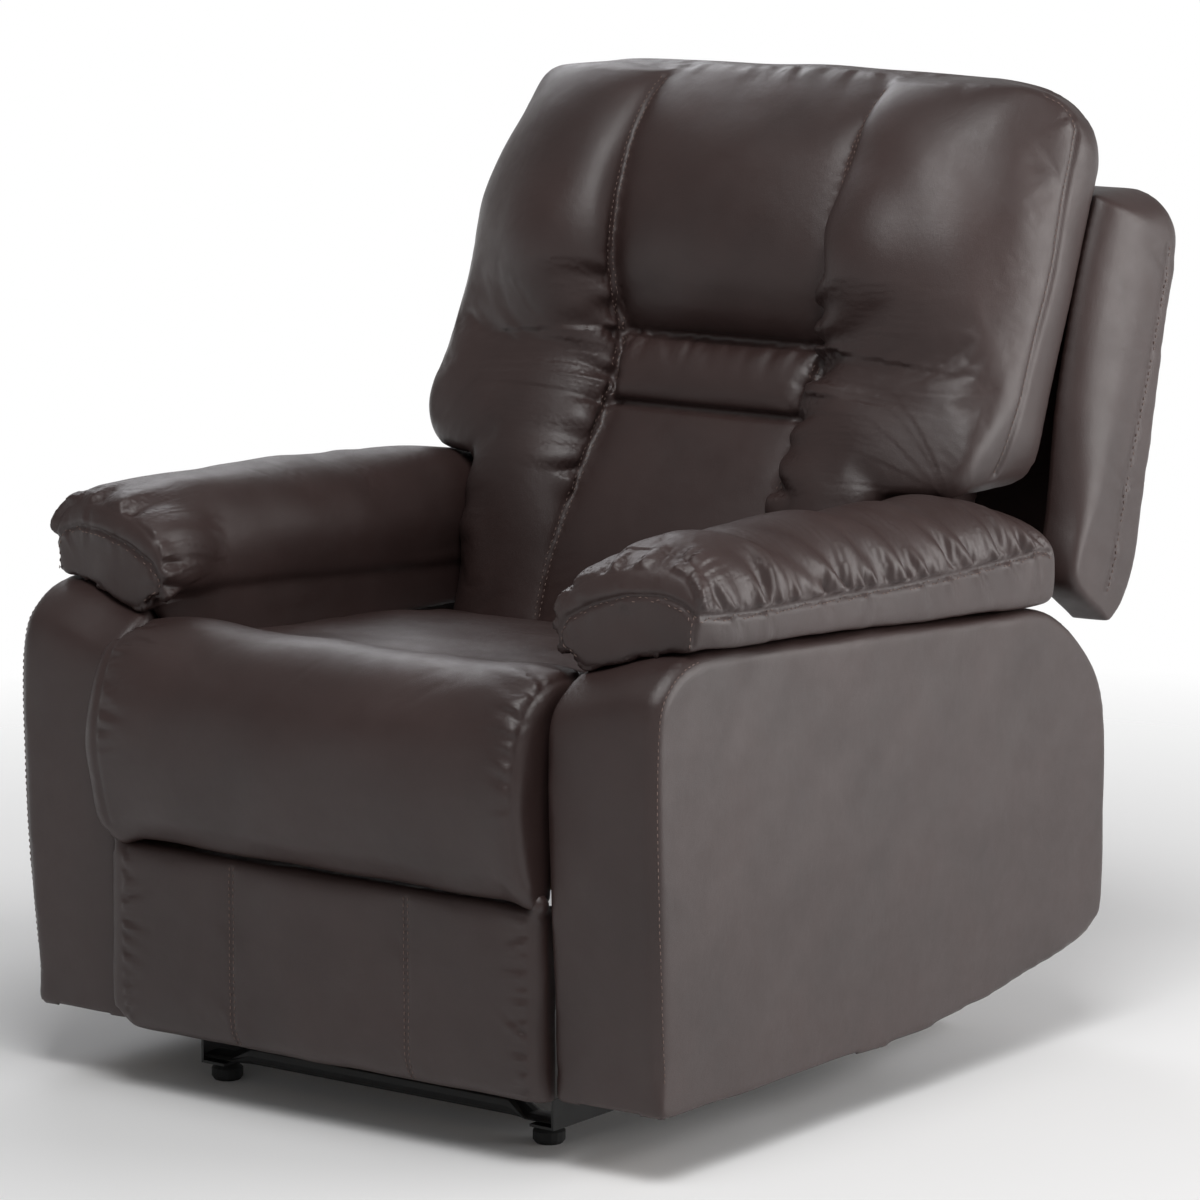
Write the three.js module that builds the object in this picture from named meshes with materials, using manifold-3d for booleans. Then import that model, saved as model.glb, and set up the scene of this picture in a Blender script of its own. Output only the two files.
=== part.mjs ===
// Recliner armchair: a steel base, a swinging seat, a reclining back and a scissor footrest.
// Millimetres. +X is on the right for someone who faces the chair, +Y is to the rear, +Z is up.
// The origin is on the floor, under the centre of the chair's box. "left" is -X, "right" is +X.
import * as THREE from "three";
import { mergeVertices } from "three/addons/utils/BufferGeometryUtils.js";
import Module from "manifold-3d";

const wasm = await Module();
wasm.setup();

// ---------------------------------------------------------------- driving dimensions
const GAP = 0.4; // between pieces that touch
const SEAT_HALF = 279; // half width of the seat between the arms
const ARM_IN = 285; // inner face of an arm
const ARM_OUT = 418; // outer face of an arm
const PAD_OUT = 425; // outer face of an arm pad, the widest part of the chair
const WALL = 8; // thickness of an upholstered casing
const FOOT_X = 216;
const FOOT_FRONT = -383;
const FOOT_REAR = 275;
const FOOT_HEIGHT = 18;
const RAIL = { inner: 205, outer: 236, gauge: 3, base: 18.4, height: 32, front: -402, rear: 300 };
const DECK = 345; // top of the seat's timber frame
const TIMBER = 25; // thickness of the timber rails
const FOOTREST = { front: 490, back: 447, board: 12, low: 65, high: 268, half: 276 };
const BACK_LEAN = 0.382; // rearward run of the back per unit of height
const BACK_FOOT = [213, 430]; // where the cushions' rear face starts
const COVER_HALF = 400; // half width of the outer back

// Flat steel bars lie in layers, given as distances from the middle plane of the chair.
const BAR = 22; // width of a bar
const PIN = 4; // radius of a rivet
const BORE = 4.5; // radius of the hole round a rivet
const LAYER = {
  plate: [248.7, 251.7],
  outer: [244.7, 247.7],
  middle: [240.7, 243.7],
  inner: [236.7, 239.7],
};

// The footrest scissors, in the plane of one side. Angles are from straight ahead, upwards.
const SCISSOR = 185; // length of a long bar
const DRIVE_REST = -100;
const CROSS_REST = 60;
const SEAT_PIVOT = [-369.6, 235]; // drive bar on the seat plate
const CONTROL_PIVOT = [-308.9, 150]; // control bar on the seat plate
const CONTROL_EYE = 9.2; // the control bar's wide eye, open round the cross bar's rivet
// The seat swings forward on two pairs of parallel bars that lean to the rear at rest.
const SWING = { length: 150, lean: 12, low: 36, front: -130, rear: 120 };
const BACK_PIVOT = [230, 300];

// The recessed release in the outer face of the left arm.
const CUP = { front: -207, rear: -113, low: 371, high: 449, floor: -374, wall: 4, lip: 11 };
const PADDLE_PIVOT = [-414, 441];

// ---------------------------------------------------------------- materials
const paint = (color, roughness, metalness = 0) => () =>
  new THREE.MeshStandardMaterial({ color, roughness, metalness });
const leather = paint(0x4a3f3c, 0.45);
const timber = paint(0xb58e62, 0.75);
const blackSteel = paint(0x161616, 0.5, 0.6);
const zincSteel = paint(0x8c8f92, 0.35, 0.9);
const springSteel = paint(0x55585c, 0.4, 0.9);
const rubber = paint(0x101010, 0.8);
const plastic = paint(0x1d1a19, 0.45);

// ---------------------------------------------------------------- solids
const chair = new THREE.Group();

function solid(geometry) {
  const loose = geometry.index ? geometry.toNonIndexed() : geometry;
  const bare = new THREE.BufferGeometry();
  bare.setAttribute("position", loose.getAttribute("position"));
  const merged = mergeVertices(bare, 1e-3);
  const vertProperties = merged.attributes.position.array;
  const triVerts = new Uint32Array(merged.index.array);
  return new wasm.Manifold(new wasm.Mesh({ numProp: 3, vertProperties, triVerts }));
}

function geometryOf(body) {
  const mesh = body.getMesh();
  const geometry = new THREE.BufferGeometry();
  geometry.setAttribute("position", new THREE.BufferAttribute(mesh.vertProperties, 3));
  geometry.setIndex(new THREE.BufferAttribute(mesh.triVerts, 1));
  return geometry;
}

const join = (...pieces) => geometryOf(pieces.map(solid).reduce((a, b) => a.add(b)));
const cut = (piece, ...tools) =>
  geometryOf(tools.map(solid).reduce((a, b) => a.subtract(b), solid(piece)));

function add(name, geometry, material) {
  const mesh = new THREE.Mesh(geometry, material());
  mesh.name = name;
  chair.add(mesh);
}

// A box between two corners, given as [low, high] along X, Y and Z.
function block([x0, x1], [y0, y1], [z0, z1]) {
  const geometry = new THREE.BoxGeometry(x1 - x0, y1 - y0, z1 - z0);
  return geometry.translate((x0 + x1) / 2, (y0 + y1) / 2, (z0 + z1) / 2);
}

// A side outline of [y, z] points carried across from one X to another, with soft end edges.
function across(outline, [x0, x1], { edge = 0, holes = [] } = {}) {
  const shape = outline instanceof THREE.Shape
    ? outline
    : new THREE.Shape(outline.map(([y, z]) => new THREE.Vector2(y, z)));
  for (const [y, z, radius] of holes)
    shape.holes.push(new THREE.Path().absarc(y, z, radius, 0, 2 * Math.PI));
  const geometry = new THREE.ExtrudeGeometry(shape, {
    depth: x1 - x0 - 2 * edge,
    bevelEnabled: edge > 0,
    bevelThickness: edge,
    bevelSize: edge,
    bevelOffset: -edge,
    bevelSegments: 2,
    curveSegments: 5,
  });
  geometry.translate(0, 0, x0 + edge);
  return geometry.applyMatrix4(new THREE.Matrix4().set(0, 0, 1, 0, 1, 0, 0, 0, 0, 1, 0, 0, 0, 0, 0, 1));
}

// A closed skin through sections that each hold the same number of [x, y, z] points.
function loft(sections) {
  const count = sections[0].length;
  const middles = [sections[0], sections.at(-1)].map((section) =>
    section.reduce((sum, p) => sum.map((v, i) => v + p[i] / count), [0, 0, 0]),
  );
  const points = [...sections.flat(), ...middles];
  const near = points.length - 2;
  const far = points.length - 1;
  const faces = [];
  for (let j = 0; j < count; j++) {
    const next = (j + 1) % count;
    const last = (sections.length - 1) * count;
    faces.push(near, next, j, far, last + j, last + next);
    for (let row = 0; row < last; row += count)
      faces.push(row + j, row + next, row + count + next, row + j, row + count + next, row + count + j);
  }
  const geometry = new THREE.BufferGeometry();
  geometry.setAttribute("position", new THREE.Float32BufferAttribute(points.flat(), 3));
  geometry.setIndex(volume(points, faces) < 0 ? faces.reverse() : faces);
  return geometry;
}

// Six times the volume inside a list of triangles, negative when they face inwards.
function volume(points, faces) {
  const [a, b, c] = [new THREE.Vector3(), new THREE.Vector3(), new THREE.Vector3()];
  let sum = 0;
  for (let i = 0; i < faces.length; i += 3) {
    a.set(...points[faces[i]]);
    b.set(...points[faces[i + 1]]);
    c.set(...points[faces[i + 2]]);
    sum += a.dot(b.cross(c));
  }
  return sum;
}

// A round rod along X or Y.
const rodX = ([y, z], radius, [x0, x1], sides = 10) =>
  new THREE.CylinderGeometry(radius, radius, x1 - x0, sides)
    .rotateZ(Math.PI / 2)
    .translate((x0 + x1) / 2, y, z);
const rodY = ([x, z], radius, [y0, y1], sides = 10) =>
  new THREE.CylinderGeometry(radius, radius, y1 - y0, sides).translate(x, (y0 + y1) / 2, z);

// The same span of distances from the middle plane, on the left (-1) or the right (+1) side.
const onSide = (side, [near, far]) => (side > 0 ? [near, far] : [-far, -near]);
const both = (make) => [["left", -1], ["right", 1]].forEach(([word, side]) => make(word, side));

// A point at a distance and an angle from another in a side plane, 0 degrees being straight ahead.
function reach([y, z], length, degrees) {
  const angle = THREE.MathUtils.degToRad(degrees);
  return [y - length * Math.cos(angle), z + length * Math.sin(angle)];
}

const mix = (a, b, t) => a + (b - a) * t;

// The Y of a line of [y, z] points at a height.
function lineAt(line, z) {
  const i = Math.min(Math.max(line.findIndex((p) => p[1] >= z), 1), line.length - 1);
  const [y0, z0] = line[i - 1];
  const [y1, z1] = line[i];
  return mix(y0, y1, (z - z0) / (z1 - z0));
}

// A flat bar between two pivots, with holes at some points and rivets that reach to another X.
function bar(side, layer, from, to, { holes = [], pins = [] } = {}) {
  const turn = Math.atan2(to[1] - from[1], to[0] - from[0]);
  const shape = new THREE.Shape();
  shape.absarc(...to, BAR / 2, turn - Math.PI / 2, turn + Math.PI / 2);
  shape.absarc(...from, BAR / 2, turn + Math.PI / 2, turn + Math.PI * 1.5);
  const bored = holes.map(([y, z, radius = BORE]) => [y, z, radius]);
  const flat = across(shape, onSide(side, layer), { holes: bored });
  return join(flat, ...pins.map(([point, reachTo]) => pin(side, point, layer, reachTo)));
}

const pin = (side, point, [near, far], reachTo) =>
  rodX(point, PIN, onSide(side, reachTo < near ? [reachTo, far] : [near, reachTo]));

// ---------------------------------------------------------------- base
function foot() {
  const profile = [[0, 0], [14, 0], [17, 4], [17, 13], [11, FOOT_HEIGHT], [0, FOOT_HEIGHT]];
  const points = profile.map(([r, z]) => new THREE.Vector2(r, z));
  return new THREE.LatheGeometry(points, 16).rotateX(Math.PI / 2);
}

function base() {
  const high = RAIL.base + RAIL.height;
  const length = [RAIL.front, RAIL.rear];
  const web = [RAIL.outer - RAIL.gauge, RAIL.outer];
  both((word, side) => {
    for (const [place, y] of [["front", FOOT_FRONT], ["rear", FOOT_REAR]])
      add(`foot_${place}_${word}`, foot().translate(side * FOOT_X, y, 0), rubber);
    const flat = block(onSide(side, [RAIL.inner, RAIL.outer]), length, [RAIL.base, RAIL.base + RAIL.gauge]);
    const wall = block(onSide(side, web), length, [RAIL.base, high]);
    const pivots = [SWING.front, SWING.rear].map((y) => pin(side, [y, SWING.low], web, 243.4));
    add(`base_rail_${word}`, join(flat, wall, ...pivots), blackSteel);
    const riser = onSide(side, [281.3, 284.3]);
    const shelf = onSide(side, [RAIL.outer + GAP, 284.3]);
    const inner = onSide(side, [RAIL.outer + GAP, RAIL.outer + GAP + RAIL.gauge]);
    const span = [-85, 75];
    const bracket = join(
      block(inner, span, [RAIL.base, high]),
      block(shelf, span, [RAIL.base, RAIL.base + RAIL.gauge]),
      block(riser, span, [RAIL.base, 150]),
    );
    add(`arm_bracket_${word}`, bracket, blackSteel);
  });
  // The front tube is pressed flat where it lies on the rails.
  const low = RAIL.base + RAIL.gauge + GAP;
  const reachX = RAIL.outer - RAIL.gauge - GAP;
  for (const [place, y] of [["front", FOOT_FRONT], ["rear", 262]]) {
    const stations = [
      [-reachX, 17, 4], [-196, 17, 4], [-172, 14, 12], [172, 14, 12], [196, 17, 4], [reachX, 17, 4],
    ];
    const sections = stations.map(([x, wide, tall]) => tubeSection(x, y, low, wide, tall));
    add(`base_cross_${place}`, loft(sections), blackSteel);
  }
}

function tubeSection(x, y, low, wide, tall) {
  const sides = 12;
  return Array.from({ length: sides }, (_, i) => {
    const turn = (2 * Math.PI * i) / sides;
    return [x, y + wide * Math.cos(turn), low + tall + tall * Math.sin(turn)];
  });
}

// ---------------------------------------------------------------- arms
const ARM_SIDE = [
  [-461, 69], [-469, 145], [-477.5, 298], [-481, 398], [-478, 474], [-470, 496], [-437, 523], [-401, 531],
  [236, 490], [287, 459], [330, 425], [356, 371], [358, 300], [363, 140], [338, 121.5], [256, 109],
  [155, 91.5], [76, 85], [-96, 69],
].reverse();

// The outline moved inwards by a distance, corner by corner.
function inset(outline, distance) {
  return outline.map((point, i) => {
    const p = new THREE.Vector2(...point);
    const before = new THREE.Vector2(...outline.at(i - 1));
    const after = new THREE.Vector2(...outline[(i + 1) % outline.length]);
    const a = p.clone().sub(before).normalize();
    const b = after.sub(p).normalize();
    const normal = new THREE.Vector2(-(a.y + b.y), a.x + b.x).normalize();
    const stretch = 1 / Math.max(0.5, normal.dot(new THREE.Vector2(-a.y, a.x)));
    return p.addScaledVector(normal, distance * stretch).toArray();
  });
}

const padSection = (y, low, seam, crown, squeeze) => {
  const middle = (ARM_IN + PAD_OUT) / 2;
  const half = ((PAD_OUT - ARM_IN) / 2) * squeeze;
  const shape = [
    [-0.9, low], [0.9, low], [1, mix(low, seam, 0.5)], [1, seam], [0.86, mix(seam, crown, 0.6)],
    [0.45, mix(seam, crown, 0.93)], [0, crown], [-0.45, mix(seam, crown, 0.93)],
    [-0.86, mix(seam, crown, 0.6)], [-1, seam], [-1, mix(low, seam, 0.5)],
  ];
  return shape.map(([u, z]) => [middle + u * half, y, z]);
};

function armPad(side) {
  const stations = [
    [-436, 527, 560, 586, 0.93], [-426, 530, 571, 603, 1], [-412, 532, 571, 613, 1],
    [-394, 534, 569, 620, 1], [-250, 524.5, 562, 630, 1], [-60, 512, 556, 634, 1],
    [110, 501, 554, 626, 1], [205, 495, 553, 610, 1], [238, 494, 545, 590, 0.94],
    [250, 500, 530, 560, 0.85],
  ];
  return loft(stations.map((station) => padSection(...station).map(([x, y, z]) => [side * x, y, z])));
}

function arms() {
  const hollow = inset(ARM_SIDE, WALL);
  const dropped = hollow.map(([y, z]) => [y, z - 40]);
  const inside = [ARM_IN + WALL, ARM_OUT - WALL];
  both((word, side) => {
    const casing = across(ARM_SIDE, onSide(side, [ARM_IN, ARM_OUT]));
    const tools = [across(hollow, onSide(side, inside)), across(dropped, onSide(side, inside))];
    if (side < 0) tools.push(cupBlock(CUP.wall + GAP, -430, -400));
    add(`arm_cover_${word}`, cut(casing, ...tools), leather);
    const post = onSide(side, [ARM_IN + WALL + GAP, ARM_OUT - WALL - GAP]);
    add(`arm_post_front_${word}`, block(post, [-452, -452 + TIMBER], [80, 480]), timber);
    add(`arm_post_rear_${word}`, block(post, [312, 312 + TIMBER], [134, 382]), timber);
    add(`arm_pad_${word}`, armPad(side), leather);
  });
}

// ---------------------------------------------------------------- release in the left arm
const cupBlock = (margin, x0, x1) =>
  block([x0, x1], [CUP.front - margin, CUP.rear + margin], [CUP.low - margin, CUP.high + margin]);

function release() {
  const face = -ARM_OUT;
  const body = cupBlock(CUP.wall, face - 3, CUP.floor + CUP.wall);
  const lip = cupBlock(CUP.wall + CUP.lip, face - 3.4, face - GAP);
  const hollow = cupBlock(0, face - 10, CUP.floor);
  const bore = rodY(PADDLE_PIVOT, 3.5, [CUP.front - CUP.wall - 1, CUP.rear + CUP.wall + 1]);
  add("release_cup", cut(join(body, lip), hollow, bore), plastic);
  const [x, z] = PADDLE_PIVOT;
  const plate = block([x - 3, x + 3], [CUP.front + 1.5, CUP.rear - 1.5], [404, z + 5]);
  const shaft = rodY(PADDLE_PIVOT, 3, [CUP.front - 2.5, CUP.rear + 2.5]);
  add("release_paddle", join(plate, shaft), plastic);
}

// ---------------------------------------------------------------- seat
const SEAT_SIDE = [
  [-462, 278], [-462, DECK + GAP], [95, DECK + GAP], [92, 420], [62, 436], [-100, 456], [-300, 478],
  [-425, 492], [-465, 489], [-494, 472], [-512, 440], [-519.5, 400], [-518, 360], [-506, 312], [-486, 278],
];

function swingTop(y) {
  const lean = THREE.MathUtils.degToRad(SWING.lean);
  return [y + SWING.length * Math.sin(lean), SWING.low + SWING.length * Math.cos(lean)];
}

function seatPlate(side) {
  const outline = [
    [-384, 222], [-350, 206], [-322, 143], [-309, 136], [-296, 140], [-270, 180], [-120, 170], [165, 170],
    [243, 288], [243, 312], [220, 318], [-384, 318],
  ];
  const pivots = [[SEAT_PIVOT, 245], [BACK_PIVOT, 245], [CONTROL_PIVOT, 237]];
  for (const y of [SWING.front, SWING.rear]) pivots.push([swingTop(y), 241]);
  const pins = pivots.map(([point, reachTo]) => pin(side, point, LAYER.plate, reachTo));
  return join(across(outline, onSide(side, LAYER.plate)), ...pins);
}

// A zigzag wire that runs from the front rail to the rear rail.
function spring(x) {
  const wire = 4;
  const turns = 18;
  const swing = 24;
  const from = -444;
  const to = 112;
  const line = Array.from({ length: turns + 1 }, (_, i) => {
    const sway = i === 0 || i === turns ? 0 : i % 2 ? swing : -swing;
    return [x + sway, mix(from, to, i / turns)];
  });
  const left = line.map(([u, v]) => new THREE.Vector2(u - wire / 2, v));
  const right = line.map(([u, v]) => new THREE.Vector2(u + wire / 2, v)).reverse();
  const path = new THREE.Shape([...left, ...right]);
  const flat = new THREE.ExtrudeGeometry(path, { depth: 3.4, bevelEnabled: false });
  return flat.translate(0, 0, DECK - 3.5);
}

function seat() {
  const sideRail = [LAYER.plate[1] + GAP, LAYER.plate[1] + GAP + 22];
  both((word, side) => {
    add(`seat_rail_${word}`, block(onSide(side, sideRail), [-458, 150], [285, DECK]), timber);
    add(`seat_plate_${word}`, seatPlate(side), zincSteel);
  });
  const between = LAYER.plate[1];
  add("seat_rail_front", block([-between, between], [-458, -458 + TIMBER], [285, DECK - 4]), timber);
  const inner = LAYER.plate[0] - GAP;
  add("seat_rail_rear", block([-inner, inner], [100, 100 + TIMBER], [285, DECK - 4]), timber);
  for (const [word, x] of [["left", -150], ["middle", 0], ["right", 150]])
    add(`seat_spring_${word}`, spring(x), springSteel);
  add("seat_cushion", across(SEAT_SIDE, [-SEAT_HALF, SEAT_HALF], { edge: 12 }), leather);
}

function swingBars() {
  both((word, side) => {
    for (const place of ["front", "rear"]) {
      const low = [SWING[place], SWING.low];
      const top = swingTop(SWING[place]);
      add(`swing_bar_${place}_${word}`, bar(side, LAYER.middle, low, top, { holes: [low, top] }), zincSteel);
    }
  });
}

// ---------------------------------------------------------------- footrest
function footrest() {
  const elbow = reach(SEAT_PIVOT, SCISSOR, DRIVE_REST);
  const centre = reach(SEAT_PIVOT, SCISSOR / 2, DRIVE_REST);
  const crossTop = reach(centre, SCISSOR / 2, CROSS_REST);
  const crossFoot = reach(centre, -SCISSOR / 2, CROSS_REST);
  const tip = reach(elbow, SCISSOR, CROSS_REST);
  const second = reach(elbow, SCISSOR / 2, CROSS_REST);
  both((word, side) => {
    const drive = { holes: [SEAT_PIVOT], pins: [[centre, 241], [elbow, 241]] };
    add(`drive_bar_${word}`, bar(side, LAYER.outer, SEAT_PIVOT, elbow, drive), zincSteel);
    const cross = { holes: [centre], pins: [[crossTop, 247.4], [crossFoot, 237]] };
    add(`cross_bar_${word}`, bar(side, LAYER.middle, crossFoot, crossTop, cross), zincSteel);
    const lift = { holes: [elbow], pins: [[second, 247.4], [tip, 237]] };
    add(`lift_bar_${word}`, bar(side, LAYER.middle, elbow, tip, lift), zincSteel);
    const short = { holes: [crossTop, second] };
    add(`short_bar_${word}`, bar(side, LAYER.outer, crossTop, second, short), zincSteel);
    const control = { holes: [CONTROL_PIVOT, [...crossFoot, CONTROL_EYE]] };
    add(`control_bar_${word}`, bar(side, LAYER.inner, CONTROL_PIVOT, crossFoot, control), zincSteel);
    add(`footrest_bracket_${word}`, footrestBracket(side, tip), zincSteel);
  });
  const width = LAYER.outer[0] - GAP;
  add("drive_tube", rodX(SEAT_PIVOT, 9, [-width, width], 12), blackSteel);
  const { front, back, board, low, high, half } = FOOTREST;
  const panel = [[-back - board, low + 7], [-back, low + 7], [-back, high - 6], [-back - board, high - 6]];
  add("footrest_board", across(panel, [-half + 8, half - 8]), timber);
  const pad = [
    [-back - board - GAP, low], [-back - board - GAP, high], [-front + 6, high], [-front, high - 12],
    [-front - 2, (low + high) / 2], [-front + 4, low + 40], [-front + 18, low + 4], [-front + 24, low],
  ];
  add("footrest_pad", across(pad, [-half, half], { edge: 5 }), leather);
}

function footrestBracket(side, tip) {
  const face = -FOOTREST.back + GAP;
  const [near, far] = LAYER.inner;
  const outline = [
    [face, 120], [face, 236], [tip[0] + 4, tip[1] + 10], [tip[0] + 10, tip[1] + 4], [tip[0] + 10, tip[1] - 5],
    [tip[0] + 3, tip[1] - 14], [face + 8, 120],
  ];
  const web = across(outline.reverse(), onSide(side, [near, far]), { holes: [[...tip, BORE]] });
  return join(web, block(onSide(side, [near - 22, far]), [face, face + 3], [120, 236]));
}

// ---------------------------------------------------------------- back
const FRONT_LINE = [
  [78, 430], [104, 530], [148, 613], [196, 675], [222, 715], [232, 754], [222, 800], [226, 860], [240, 920],
  [268, 980], [302, 1020], [336, 1040],
];
const SIDE_LINE = [[100, 430], [212, 618], [250, 714], [294, 810], [328, 900], [352, 981], [360, 1030]];
const rearAt = (z) => BACK_FOOT[0] + BACK_LEAN * (z - BACK_FOOT[1]);

// A slice of the back between two heights: its front is mixed from the middle line and the side line.
function backSection(x, low, high, share, rise = 0) {
  const steps = 6;
  const heights = Array.from({ length: steps + 1 }, (_, i) => mix(low, high, i / steps));
  const front = heights.map((z) => [x, mix(lineAt(FRONT_LINE, z), lineAt(SIDE_LINE, z), share), z]);
  const rear = [high, mix(low, high, 0.5), low].map((z) => [x, Math.min(rearAt(z), 412), z]);
  const crown = rise ? [[x, mix(front.at(-1)[1], rear[0][1], 0.5), high + rise]] : [];
  return [...front, ...crown, ...rear];
}

function slice(low, high, stations, rise = 0) {
  return loft(stations.map(([x, share]) => backSection(x, low, high, share, rise)));
}

function cushions() {
  const middle = (half) => [[-half, 0], [half, 0]];
  add("lumbar_pillow", slice(677, 752, middle(136)), leather);
  add("lower_cushion", slice(438, 676, middle(131)), leather);
  add("head_cushion", slice(753, 1028, middle(147), 14), leather);
  both((word, side) => {
    const place = (stations) => stations.map(([x, share]) => [side * x, share]);
    const wing = slice(614, 1026, place([[148, 0], [215, 0.05], [290, 0.25], [345, 0.6], [372, 1]]), 12);
    const waist = slice(440, 640, place([[148, 0], [215, 0.05], [SEAT_HALF, 0.4]]));
    add(`bolster_${word}`, join(wing, waist), leather);
  });
}

function backFrame() {
  const foot = 352;
  const top = 866;
  const front = (z) => rearAt(z) + 2;
  const stile = [[front(foot), foot], [front(foot) + 38, foot], [front(top) + 38, top], [front(top), top]];
  const rail = [
    [front(top), top + GAP], [front(top) + 38, top + GAP], [front(top) + 48, top + 27],
    [front(top) + 11, top + 27],
  ];
  add("back_rail_top", across(rail, [-350, 350]), timber);
  const [y, z] = BACK_PIVOT;
  const bracket = [
    [y - 13, z - 8], [y + 4, z - 14], [y + 14, z - 4], [y + 16, z + 20], [front(470) + 34, 470],
    [front(470) + 4, 470], [front(foot) + 2, foot], [y - 15, z + 10],
  ];
  both((word, side) => {
    const width = onSide(side, [LAYER.outer[0] - GAP - TIMBER, LAYER.outer[0] - GAP]);
    add(`back_stile_${word}`, across(stile, width), timber);
    const plate = across(bracket, onSide(side, LAYER.outer), { holes: [[y, z, BORE]] });
    add(`back_bracket_${word}`, plate, zincSteel);
  });
  add("back_cover", backCover(), leather);
}

function backCover() {
  const rear = [[390, 452], [416, 473], [459, 602], [497, 765], [519, 875], [503, 898], [471, 910]];
  const inner = [...rear, ...[926, 851, 702, 560].map((z) => [rearAt(z) + 2, z])];
  const outer = [
    ...rear.slice(0, 4), [517, 862], [502, 884], [486, 884], [483, 858], [403, 697], [354, 603], [307, 515],
  ];
  const at = (x, line) => line.map(([y, z]) => [x, y, z]);
  const edge = COVER_HALF - 26;
  const slab = loft([at(-COVER_HALF, outer), at(-edge, inner), at(edge, inner), at(COVER_HALF, outer)]);
  const room = [
    [372, 440], [409, 477], [451, 604], [489, 767], [510, 873], [499, 889], [468, 902], [300, 922], [100, 400],
  ];
  return cut(slab, across(room, [-edge + WALL, edge - WALL]));
}

base();
arms();
release();
seat();
swingBars();
footrest();
cushions();
backFrame();

export default chair;
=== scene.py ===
"""Recliner armchair in dark brown faux leather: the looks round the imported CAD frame.

Lengths in this script are millimetres in the frame's own axes (+X to the right of someone who
faces the chair, +Y to the rear, +Z up). MM turns them into Blender's metres when a mesh is made.
"""

import math

import bmesh
import bpy
import numpy as np
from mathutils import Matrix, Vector
from mathutils.bvhtree import BVHTree
from mathutils.kdtree import KDTree


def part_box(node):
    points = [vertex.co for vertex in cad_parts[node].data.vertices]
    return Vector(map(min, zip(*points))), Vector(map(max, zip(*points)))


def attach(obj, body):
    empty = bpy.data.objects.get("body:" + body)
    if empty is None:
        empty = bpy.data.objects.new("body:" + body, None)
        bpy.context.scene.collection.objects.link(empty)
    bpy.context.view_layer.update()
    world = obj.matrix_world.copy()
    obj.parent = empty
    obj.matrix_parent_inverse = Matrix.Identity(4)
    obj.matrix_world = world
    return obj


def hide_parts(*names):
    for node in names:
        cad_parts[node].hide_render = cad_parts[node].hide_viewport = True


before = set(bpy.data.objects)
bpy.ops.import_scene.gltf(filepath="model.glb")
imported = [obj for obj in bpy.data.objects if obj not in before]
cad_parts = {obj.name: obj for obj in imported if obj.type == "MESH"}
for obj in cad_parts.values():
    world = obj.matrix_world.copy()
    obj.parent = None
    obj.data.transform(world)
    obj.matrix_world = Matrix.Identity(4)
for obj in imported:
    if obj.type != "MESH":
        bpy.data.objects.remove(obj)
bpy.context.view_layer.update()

MM = 0.001
SIDES = {"left": -1, "right": 1}

# ---------------------------------------------------------------- look of the materials
LEATHER = (0.041, 0.0235, 0.0215, 1)
LEATHER_DEEP = (0.03, 0.017, 0.0155, 1)
LEATHER_ROUGHNESS = (0.36, 0.47)
PEBBLES_PER_METRE, CREASES_PER_METRE = 900.0, 210.0
THREAD = (0.2, 0.135, 0.115, 1)
TIMBER = (0.42, 0.27, 0.14, 1)
TIMBER_DARK = (0.26, 0.15, 0.07, 1)


def span(*nodes):
    """The lowest and highest corner of some CAD nodes, in millimetres."""
    boxes = [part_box(n) for n in nodes]
    low = np.min([np.array(b[0]) for b in boxes], axis=0) / MM
    high = np.max([np.array(b[1]) for b in boxes], axis=0) / MM
    return low, high


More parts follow.
